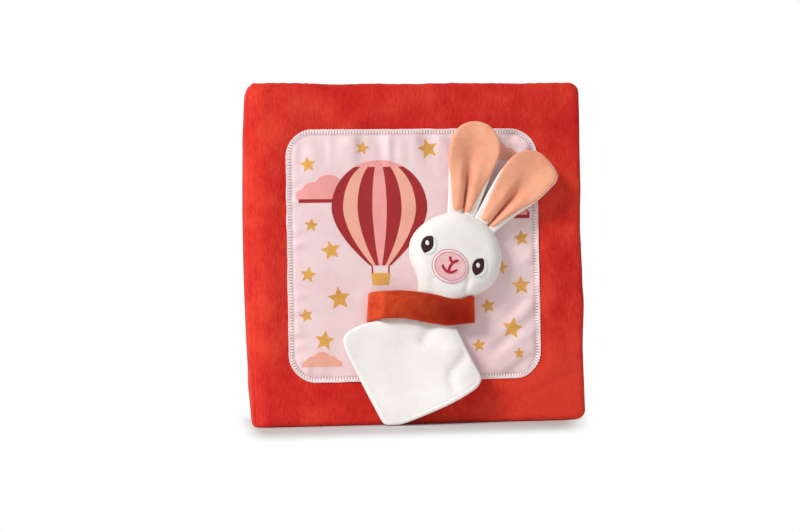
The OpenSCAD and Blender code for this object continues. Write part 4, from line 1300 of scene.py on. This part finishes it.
def make_body():
    outline = closed_curve(BODY_OUTLINE, 1.1)
    thickness = body_surface(outline)

    def forward(x, z):
        """The lower corner stands off the cover and rests on the floor, and the right side stands off too."""
        at_corner = CORNER_STAND * smooth_step(42 - z, 0, 42) ** 1.2
        return at_corner + SIDE_STAND * smooth_step(x, -14, 34) * smooth_step(68 - z, 0, 20)

    def seat(x, z):
        """The y of the body's underside, which rises at the rolled edge."""
        edge = border_distance(x, z, outline)
        return RABBIT_Y - BODY_UNDER * (1 - edge_roll(edge, BODY_EDGE)) - forward(x, z)

    def front(x, z):
        return seat(x, z) - thickness(x, z)

    def back(x, z):
        return seat(x, z) + 0.05

    rings = roll_rings(BODY_EDGE) + [BODY_EDGE, 2.3, 2.7, 3.1, 3.5, 4.2]
    points, faces = two_sided(outline, 1.3, front, back, rings)
    obj = add_object("rabbit_cloth_body", points, faces, body="front_cover")
    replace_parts(obj, "rabbit_body")
    dress(obj, "rabbit_plush")
    return obj


make_body()

HEAD_OUTLINE = [
    (30.6, 139.8), (21.2, 139.9), (9.3, 136.0), (0.5, 129.5), (-4.3, 122.5), (-5.7, 114.9), (-4.7, 108.3),
    (-2.3, 101.7), (-0.2, 96.5), (0.2, 91.4), (-1.0, 84.4), (-3.4, 77.4), (-3.0, 72.4), (2.0, 70.4),
    (14.0, 70.0), (20.0, 71.4), (22.5, 76.4), (25.2, 80.2), (30.5, 82.4), (38.1, 84.6), (44.9, 87.8),
    (51.2, 93.3), (54.9, 100.8), (56.4, 108.9), (55.8, 116.2), (51.8, 125.9), (45.5, 132.6), (38.0, 137.0),
]
head_outline = closed_curve(HEAD_OUTLINE, 1.0)
# Line, depth and width of the two folds between the head and the neck
CHIN_FOLDS = [([(8.0, 94.4), (9.5, 85.4)], 1.4, 3.4), ([(32.5, 94.9), (30.5, 85.4)], 1.2, 1.8)]
HEAD_EDGE, HEAD_BACK_EDGE = 9.0, 6.0
# Height of the head's widest line over the body, and of the neck's
HEAD_SEAM, NECK_SEAM, NECK_T = 4.2, 2.6, 2.6


def head_seat(x, z):
    """Border distance, place in the head's own frame, share of neck, and height of the widest line."""
    x, z = np.asarray(x, float), np.asarray(z, float)
    dx, dz = turned(x - HEAD_X, z - HEAD_Z, HEAD_TURN)
    neck = 1 - smooth_step(dz, -41, -24)
    return border_distance(x, z, head_outline), dx, dz, neck, HEAD_SEAM * (1 - neck) + NECK_SEAM * neck


def head_front(x, z):
    """The y of the front of the head."""
    edge, dx, dz, neck, seam = head_seat(x, z)
    dome = 1 - 0.24 * (dx / 31) ** 2 - 0.2 * ((dz + 3) / 30) ** 2
    top = (HEAD_T - HEAD_SEAM) * dome * (1 - neck) + neck * NECK_T
    cheeks = 0.5 * bell(dx - 14, 11) * bell(dz + 12, 10) + 0.5 * bell(dx + 16, 11) * bell(dz + 12, 10)
    for line, depth, width in CHIN_FOLDS:
        cheeks = cheeks - depth * bell(line_distance(x, z, line), width)
    soft = 0.22 * noise(x, z, 13, 151) + cheeks * (1 - neck)
    return RABBIT_Y - seam - np.maximum(0.1, edge_roll(edge, HEAD_EDGE) * (top + soft))


def head_back(x, z):
    """The y of the back of the head."""
    edge, _, _, _, seam = head_seat(x, z)
    return RABBIT_Y - seam + np.minimum(edge_roll(edge, HEAD_BACK_EDGE) * seam, seam - 0.02)


def make_head():
    rings = roll_rings(HEAD_EDGE, (8, 15, 23, 32, 42, 54))
    points, faces = two_sided(head_outline, 1.3, head_front, head_back, rings)
    obj = add_object("rabbit_plush_head", points, faces, body="front_cover")
    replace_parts(obj, "rabbit_head")
    dress(obj, "rabbit_plush")
    return obj


make_head()

LEFT_EAR = [
    (19.0, 133.4), (20.4, 141.4), (21.1, 154.8), (21.4, 171.3), (22.0, 179.9), (24.0, 188.6), (28.2, 195.6),
    (33.6, 198.8), (39.5, 199.8), (45.4, 198.6), (50.4, 195.2), (54.3, 188.8), (55.3, 183.2), (54.4, 176.8),
    (48.2, 161.2), (41.8, 144.6), (38.0, 135.4), (34.0, 129.4), (24.0, 128.4),
]
RIGHT_EAR = [
    (37.0, 132.4), (43.2, 145.3), (53.0, 162.9), (58.4, 170.6), (65.1, 177.0), (72.0, 180.0), (77.5, 180.3),
    (83.2, 178.3), (88.9, 173.4), (93.2, 167.3), (94.3, 163.2), (93.2, 159.6), (90.0, 156.0), (81.1, 147.6),
    (68.0, 138.6), (54.0, 128.0), (48.0, 122.4), (41.0, 123.4),
]
# Outline, middle of the base and of the tip, white border on the two sides at the base with the share of the
# ear's length at which it ends, border at the tip, share at which the peach lobes end, and seed of the wave
EARS = {
    "left": (LEFT_EAR, (30.2, 135.9), (39.6, 199.8), ((3.7, 0.62), (4.8, 0.58)), (-0.45, -0.45), 0.064, 161),
    "right": (RIGHT_EAR, (45.8, 128.9), (86.6, 175.8), ((4.2, 0.74), (3.6, 0.7)), (-0.35, 0.45), 0.045, 162),
}
# Depth of the slit at the base and of the valley it opens into
EAR_SLIT, EAR_VALLEY = 3.9, 3.0
# Height of an ear over the body's plane at its base, what it gains towards its tip, and the tip's curl back
EAR_LIFT, EAR_GAIN, TIP_CURL = 6.4, 5.6, 2.2
# Radius of the rolled edge of the shell and of the peach front
SHELL_EDGE, FRONT_EDGE = 1.8, 2.4


class Ear:
    """Shape of one ear, folded down the middle from its base. Places are a share along it and millimetres
    across it."""

    def __init__(self, name):
        points, base, tip, self.borders, self.tips, self.lobe, self.seed = EARS[name]
        self.outline = closed_curve(points, 1.0)
        self.base = np.array(base, float)
        axis = np.array(tip, float) - self.base
        self.length = np.linalg.norm(axis)
        self.axis = axis / self.length
        self.cross = np.array([self.axis[1], -self.axis[0]])

    def place(self, x, z):
        dx, dz = np.asarray(x, float) - self.base[0], np.asarray(z, float) - self.base[1]
        along = (dx * self.axis[0] + dz * self.axis[1]) / self.length
        return along, dx * self.cross[0] + dz * self.cross[1]

    def slit(self, x, z):
        """Depth of the fold down the ear: a narrow slit at the base that opens into a soft valley."""
        s, t = self.place(x, z)
        narrow = EAR_SLIT * (1 - smooth_step(s, 0.26, 0.62)) * smooth_step(s, -0.3, -0.05)
        narrow = narrow * np.exp(-((np.abs(t) / (0.75 + 1.5 * smooth_step(s, 0.1, 0.5))) ** 1.3))
        broad = EAR_VALLEY * smooth_step(s, 0.3, 0.5) * (1 - smooth_step(s, 0.52, 1.0))
        return narrow + broad * bell(t, 3.2 + 4.2 * smooth_step(s, 0.35, 0.8))

    def middle(self, x, z):
        """The y of the ear's middle surface, with its fold."""
        s, t = self.place(x, z)
        lift = EAR_LIFT + EAR_GAIN * np.clip(s, 0, 1) ** 1.3
        cup = 1.2 * (np.abs(t) / 15) ** 2 * smooth_step(s, 0.1, 0.5)
        tip_curl = TIP_CURL * smooth_step(s, 0.78, 1.04)
        wave = 0.3 * noise(x, z, 12, self.seed)
        return RABBIT_Y - lift - cup + tip_curl - wave + self.slit(x, z)

    def lobes(self, x, z):
        """The two halves beside the slit stand up like soft rolls."""
        s, t = self.place(x, z)
        return 1.6 * (1 - smooth_step(s, 0.3, 0.8)) * smooth_step(s, 0.0, 0.1) * bell(np.abs(t) - 4.8, 3.6)

    def side_line(self):
        """Border of the peach front, without its lower end. It leaves a white border beside the base, and
        fills the ear at its tip."""
        s, t = self.place(self.outline[:, 0], self.outline[:, 1])
        inset = np.zeros(len(self.outline))
        for sign, (width, end), at_tip in zip((-1, 1), self.borders, self.tips):
            here = width * (1 - smooth_step(s, -0.1, end)) + at_tip * smooth_step(s, end - 0.25, end)
            inset = inset + here * smooth_step(sign * t, -1.5, 1.5)
        tangent = np.roll(self.outline, -1, axis=0) - np.roll(self.outline, 1, axis=0)
        tangent /= np.linalg.norm(tangent, axis=1)[:, None]
        normal = np.stack([tangent[:, 1], -tangent[:, 0]], 1)
        test = self.outline + normal * 0.5
        if border_distance(test[:1, 0], test[:1, 1], self.outline)[0] < 0:
            normal = -normal
        moved = self.outline + normal * inset[:, None]
        distance = border_distance(moved[:, 0], moved[:, 1], self.outline)
        line = moved[(distance > inset * 0.9 - 0.05) & (s > self.lobe + 0.03)]
        # The line has to start and end at the base, where its widest gap is
        gap = np.linalg.norm(np.roll(line, -1, axis=0) - line, axis=1)
        start = (int(np.argmax(gap)) + 1) % len(line)
        return np.roll(line, -start, axis=0)

    def front_outline(self):
        """Outline of the peach front, closed at the base by two round lobes with a notch between."""
        line = self.side_line()
        first_t = self.place(*line[0])[1]
        last_t = self.place(*line[-1])[1]
        bottom = []
        for k in np.linspace(0, 1, 25)[1:-1]:
            across = last_t + (first_t - last_t) * k
            round_end = math.sin(math.pi * ((2 * k) % 1.0))
            along = self.lobe + 0.03 * (1 - round_end ** 0.8)
            bottom.append(self.base + self.axis * along * self.length + self.cross * across)
        return even_closed(np.vstack([line, np.array(bottom)]), 0.7)


def make_ear_shell(name, ear):
    """White cloth of the back and the border of an ear."""
    def front(x, z):
        return ear.middle(x, z) - 1.2 * edge_roll(border_distance(x, z, ear.outline), 1.6) + 0.5

    def back(x, z):
        return ear.middle(x, z) + 1.5 * edge_roll(border_distance(x, z, ear.outline), SHELL_EDGE) + 0.5

    points, faces = two_sided(ear.outline, 1.4, front, back, roll_rings(SHELL_EDGE, (25, 45, 65)))
    shell = add_object(f"{name}_ear_shell", points, faces, body="front_cover")
    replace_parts(shell, f"{name}_ear")
    dress(shell, "rabbit_plush")


def make_ear_front(name, ear):
    """Peach front of an ear, with painted shade in its slit."""
    outline = ear.front_outline()

    def front(x, z):
        edge = border_distance(x, z, outline)
        return ear.middle(x, z) - (1.7 + ear.lobes(x, z)) * edge_roll(edge, FRONT_EDGE) + 0.1

    def back(x, z):
        return ear.middle(x, z) + 0.2

    points, faces = two_sided(outline, 0.8, front, back, roll_rings(FRONT_EDGE, (20, 35, 50, 68)))
    # Painted shade: the peach turns to its crease colour deep in the slit at the base, where shade falls, and
    # less where the slit opens out
    depth = np.clip(ear.slit(points[:, 0], points[:, 2]) / EAR_SLIT, 0, 1)
    along = ear.place(points[:, 0], points[:, 2])[0]
    dark = 0.95 * depth ** 1.8 * (1 - 0.78 * smooth_step(along, 0.26, 0.5))
    lining = add_object(f"{name}_ear_front", points, faces, body="front_cover", shade=dark)
    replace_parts(lining, f"{name}_ear_lining")
    dress(lining, "ear_velour")


for ear_name in EARS:
    ear_shape = Ear(ear_name)
    make_ear_shell(ear_name, ear_shape)
    make_ear_front(ear_name, ear_shape)


# Face

def oval(cx, cz, w, h, turn, count=40):
    """Points of an ellipse turned by an angle in degrees."""
    angles = 2 * math.pi * np.arange(count) / count
    x, z = turned(w / 2 * np.cos(angles), h / 2 * np.sin(angles), -turn)
    return np.stack([cx + x, cz + z], 1)


def raised(outline, lift, round_r, step=0.7, sink=0.6):
    """A pad of thread or cloth that follows the front of the head."""
    def front(x, z):
        edge = border_distance(x, z, outline)
        return head_front(x, z) - lift * edge_roll(edge, round_r) - 0.05

    def back(x, z):
        return head_front(x, z) + sink
    return two_sided(outline, step, front, back, roll_rings(round_r, (30, 60)))


# Middle of the muzzle in the head's own frame, and its size
MUZZLE_X, MUZZLE_Z = -0.9, -12.9
MUZZLE_W, MUZZLE_H = 24.4, 21.8
# Width, height and lift of its two stitched lines
MUZZLE_LINES = [(24.2, 21.6, 0.32), (20.7, 18.2, 0.72)]
MUZZLE_THREAD_R = 0.34
EYES = {"left": (5.5, 118.7), "right": (39.0, 103.4)}
# Outline of the dark of an eye from its own middle: tilted, with a point at the top and at the bottom
EYE_OUTLINE = [
    (3.5, 5.4), (4.15, 2.8), (4.05, -0.1), (3.2, -2.5), (1.5, -4.2), (-0.2, -5.1), (-1.7, -5.6), (-2.9, -4.5),
    (-3.8, -2.8), (-4.25, -0.7), (-3.9, 1.5), (-2.8, 3.7), (-1.0, 5.2), (1.2, 5.7),
]


# Middle and size of the pale rim beside an eye, and its turn
RIM_X, RIM_Z, RIM_W, RIM_H, RIM_TURN = 1.25, -0.75, 8.7, 12.0, HEAD_TURN * 0.9


def muzzle_middle():
    x, z = turned(MUZZLE_X, MUZZLE_Z, -HEAD_TURN)
    return HEAD_X + x, HEAD_Z + z


def on_head(x, z, lift):
    """Points of a line at a lift over the front of the head."""
    return np.stack([x, head_front(x, z) - lift, z], 1)


def make_eyes():
    for name, (cx, cz) in EYES.items():
        eye = closed_curve([(cx + x, cz + z) for x, z in EYE_OUTLINE], 0.6)
        points, faces = raised(eye, 0.5, 1.0, 0.6)
        obj = add_object(f"{name}_eye_stitches", points, faces, body="front_cover")
        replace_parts(obj, f"{name}_eye")
        dress(obj, "eye_thread")
        # The glint, and the pale crescent with its thin edge beside the lower right of the eye
        rim_x, rim_z = cx + RIM_X, cz + RIM_Z
        rim_outline = oval(rim_x, rim_z, RIM_W, RIM_H, RIM_TURN)
        glint = oval(cx - 0.1, cz + 1.1, 3.1, 3.8, -12, 24)
        parts = [raised(rim_outline, 0.14, 1.4), raised(glint, 0.8, 1.1, 0.5, -0.3)]
        plain = sum(len(points) for points, _ in parts)
        x, z = oval(rim_x, rim_z, RIM_W + 0.4, RIM_H + 0.4, RIM_TURN, 60).T
        # The thin edge thins out on the upper left, where the photograph shows none
        shown = smooth_step((x - rim_x) * 0.75 - (z - rim_z) * 0.65, -2.5, 2.0)
        parts.append(tube(on_head(x, z, 0.1), 0.1 + 0.2 * shown, 6, closed=True))
        points, faces = joined(parts)
        shade = np.where(np.arange(len(points)) < plain, 0.0, 1.0)
        obj = add_object(f"{name}_eye_glint_stitches", points, faces, body="front_cover", shade=shade)
        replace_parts(obj, f"{name}_eye_glints")
        dress(obj, "glint_thread")


def make_muzzle():
    cx, cz = muzzle_middle()
    outline = oval(cx, cz, MUZZLE_W, MUZZLE_H, HEAD_TURN, 60)
    points, faces = raised(outline, 0.7, 1.6, 0.8)
    # The band between the two stitched lines is paler than the middle
    edge = border_distance(points[:, 0], points[:, 2], outline)
    pale = 1 - smooth_step(edge, 1.5, 2.0)
    obj = add_object("muzzle_pad", points, faces, body="front_cover", shade=pale)
    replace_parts(obj, "muzzle_patch")
    dress(obj, "muzzle_cloth")
    parts = []
    for w, h, lift in MUZZLE_LINES:
        x, z = oval(cx, cz, w, h, HEAD_TURN, 120).T
        beads = 1 + 0.16 * np.cos(np.arange(len(x)) * math.pi)
        parts.append(tube(on_head(x, z, lift), MUZZLE_THREAD_R * beads, 7, closed=True))
    points, faces = joined(parts)
    obj = add_object("muzzle_rings", points, faces, body="front_cover")
    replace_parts(obj, "muzzle_stitching")
    dress(obj, "muzzle_thread")


# Strokes of the nose and the mouth, from the middle of the muzzle
MOUTH_STROKES = [
    [(-0.3, 6.4), (0.1, 4.4), (1.5, 2.2)],
    [(5.3, 3.7), (3.2, 3.2), (1.5, 2.2)],
    [(1.5, 2.2), (0.1, 0.5), (-1.0, -1.8), (-1.1, -3.9)],
    [(-5.1, 1.2), (-4.5, -1.2), (-2.8, -3.2), (-0.6, -4.2), (2.0, -3.8), (4.4, -2.4)],
]


def make_mouth():
    """Nose and mouth as drawn lines of thick stitches."""
    cx, cz = muzzle_middle()
    count = 30
    parts = []
    for stroke in MOUTH_STROKES:
        knots = np.array(stroke, float)
        gaps = np.concatenate([[0], np.cumsum(np.linalg.norm(np.diff(knots, axis=0), axis=1))])
        at = np.linspace(0, gaps[-1], count)
        line = np.stack([np.interp(at, gaps, knots[:, 0]), np.interp(at, gaps, knots[:, 1])], 1)
        # The corners of the stroke are rounded by averaging each point with its neighbours
        for _ in range(5):
            line[1:-1] = (line[:-2] + 2 * line[1:-1] + line[2:]) / 4
        path = on_head(cx + line[:, 0], cz + line[:, 1], 0.95)
        share = np.linspace(-1, 1, count)
        parts.append(tube(path, 0.82 * (1 - 0.25 * np.abs(share) ** 6), 8, squash=0.65))
    points, faces = joined(parts)
    obj = add_object("mouth_stitches", points, faces, body="front_cover")
    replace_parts(obj, "mouth_stitching")
    dress(obj, "mouth_thread")


make_eyes()
make_muzzle()
make_mouth()


# Floor, background and light

# Half width of the floor in metres, and its greys for bounced light and for the camera: the camera's grey
# near the book is darker, painted shade under the real shadow there
FLOOR_HALF, FLOOR_GREY, FLOOR_PAINTED_SHADE_GREY = 3.0, 0.9, 0.68
# Away from the book the floor turns white, so the painted shade stays near it: to the right and to the left
# (share of x, share of y, where that starts and ends), and in front of and behind the book (where that starts
# and ends)
FLOOR_LIMITS = [(1.0, -0.23, 0.098, 0.121), (-1.0, 0.0, 0.103, 0.119)]
FLOOR_DEPTH = (0.05, 0.15)
SKY_COLOUR, SKY_STRENGTH = (1, 0.99, 0.98, 1), 0.25
# Place, target, size in metres and power in watts of each lamp
LAMPS = {
    "key": ((-1.3, -1.05, 1.28), (0, 0, 0.11), 0.56, 27.5),
    "fill": ((1.0, -1.6, 0.6), (0, 0, 0.1), 1.2, 3.0),
    "back_fill": ((0.2, 1.6, 1.2), (0, 0, 0.1), 1.2, 8.0),
    "spine_fill": ((-1.1, 0.05, 0.45), (-0.11, 0, 0.12), 0.5, 2.2),
}


def seen_directly(tree):
    """1 for rays that show the background as it is: camera, glossy and transmission rays."""
    path = tree.nodes.new("ShaderNodeLightPath")
    total = path.outputs["Is Camera Ray"]
    for name in ("Is Glossy Ray", "Is Transmission Ray"):
        most = tree.nodes.new("ShaderNodeMath")
        most.operation = "MAXIMUM"
        tree.links.new(total, most.inputs[0])
        tree.links.new(path.outputs[name], most.inputs[1])
        total = most.outputs[0]
    return total


def make_floor():
    """Pale floor: white away from the book, and near it a darker grey of painted shade that keeps the real
    shadow too.
    """
    n = Nodes("floor")
    n.tree.nodes.remove(n.shader)
    limits = [(n.math("ABSOLUTE", n.axis("Y"), 0), *FLOOR_DEPTH)]
    for share_x, share_y, low, high in FLOOR_LIMITS:
        limits.append((n.weighted([(n.axis("X"), share_x), (n.axis("Y"), share_y)]), low, high))
    lit_share = 1.0
    for value, low, high in limits:
        ends = {"From Min": low, "From Max": high, "To Min": 1, "To Max": 0}
        near = n.add("ShaderNodeMapRange", ends, {"Value": value})
        near.interpolation_type = "SMOOTHSTEP"
        lit_share = n.math("MULTIPLY", lit_share, near.outputs[0])
    # The darker grey near the book is painted shade; the lamps' real shadow falls on it as well
    greys = []
    for grey in (FLOOR_GREY, FLOOR_PAINTED_SHADE_GREY):
        greys.append(n.add("ShaderNodeBsdfDiffuse", {"Color": (grey, grey, grey, 1)}).outputs[0])
    white = n.add("ShaderNodeEmission").outputs[0]
    share = n.math("SUBTRACT", 1.0, lit_share)
    shown = n.add("ShaderNodeMixShader", links={0: share, 1: greys[1], 2: white}).outputs[0]
    both = n.add("ShaderNodeMixShader", links={0: seen_directly(n.tree), 1: greys[0], 2: shown})
    n.join(both.outputs[0], n.out.inputs["Surface"])
    mesh = bpy.data.meshes.new("floor")
    corners = [(x * FLOOR_HALF, y * FLOOR_HALF, 0) for x, y in ((-1, -1), (1, -1), (1, 1), (-1, 1))]
    mesh.from_pydata(corners, [], [(0, 1, 2, 3)])
    floor = bpy.data.objects.new("floor", mesh)
    mesh.materials.append(n.material)
    bpy.context.scene.collection.objects.link(floor)


def make_world():
    """White where it is seen directly, and a soft light otherwise."""
    world = bpy.data.worlds.new("studio")
    bpy.context.scene.world = world
    world.use_nodes = True
    tree = world.node_tree
    tree.nodes.clear()
    out = tree.nodes.new("ShaderNodeOutputWorld")
    white = tree.nodes.new("ShaderNodeBackground")
    white.inputs["Color"].default_value = (1, 1, 1, 1)
    soft = tree.nodes.new("ShaderNodeBackground")
    soft.inputs["Color"].default_value = SKY_COLOUR
    soft.inputs["Strength"].default_value = SKY_STRENGTH
    mix = tree.nodes.new("ShaderNodeMixShader")
    tree.links.new(seen_directly(tree), mix.inputs[0])
    tree.links.new(soft.outputs[0], mix.inputs[1])
    tree.links.new(white.outputs[0], mix.inputs[2])
    tree.links.new(mix.outputs[0], out.inputs["Surface"])


def add_lamp(name, at, to, size, power):
    """A square lamp that points at a place."""
    data = bpy.data.lights.new(name, "AREA")
    data.shape = "SQUARE"
    data.size = size
    data.energy = power
    lamp = bpy.data.objects.new(name, data)
    lamp.location = at
    lamp.rotation_euler = (Vector(to) - Vector(at)).to_track_quat("-Z", "Y").to_euler()
    bpy.context.scene.collection.objects.link(lamp)


make_floor()
make_world()
for lamp_name, lamp in LAMPS.items():
    add_lamp(lamp_name, *lamp)
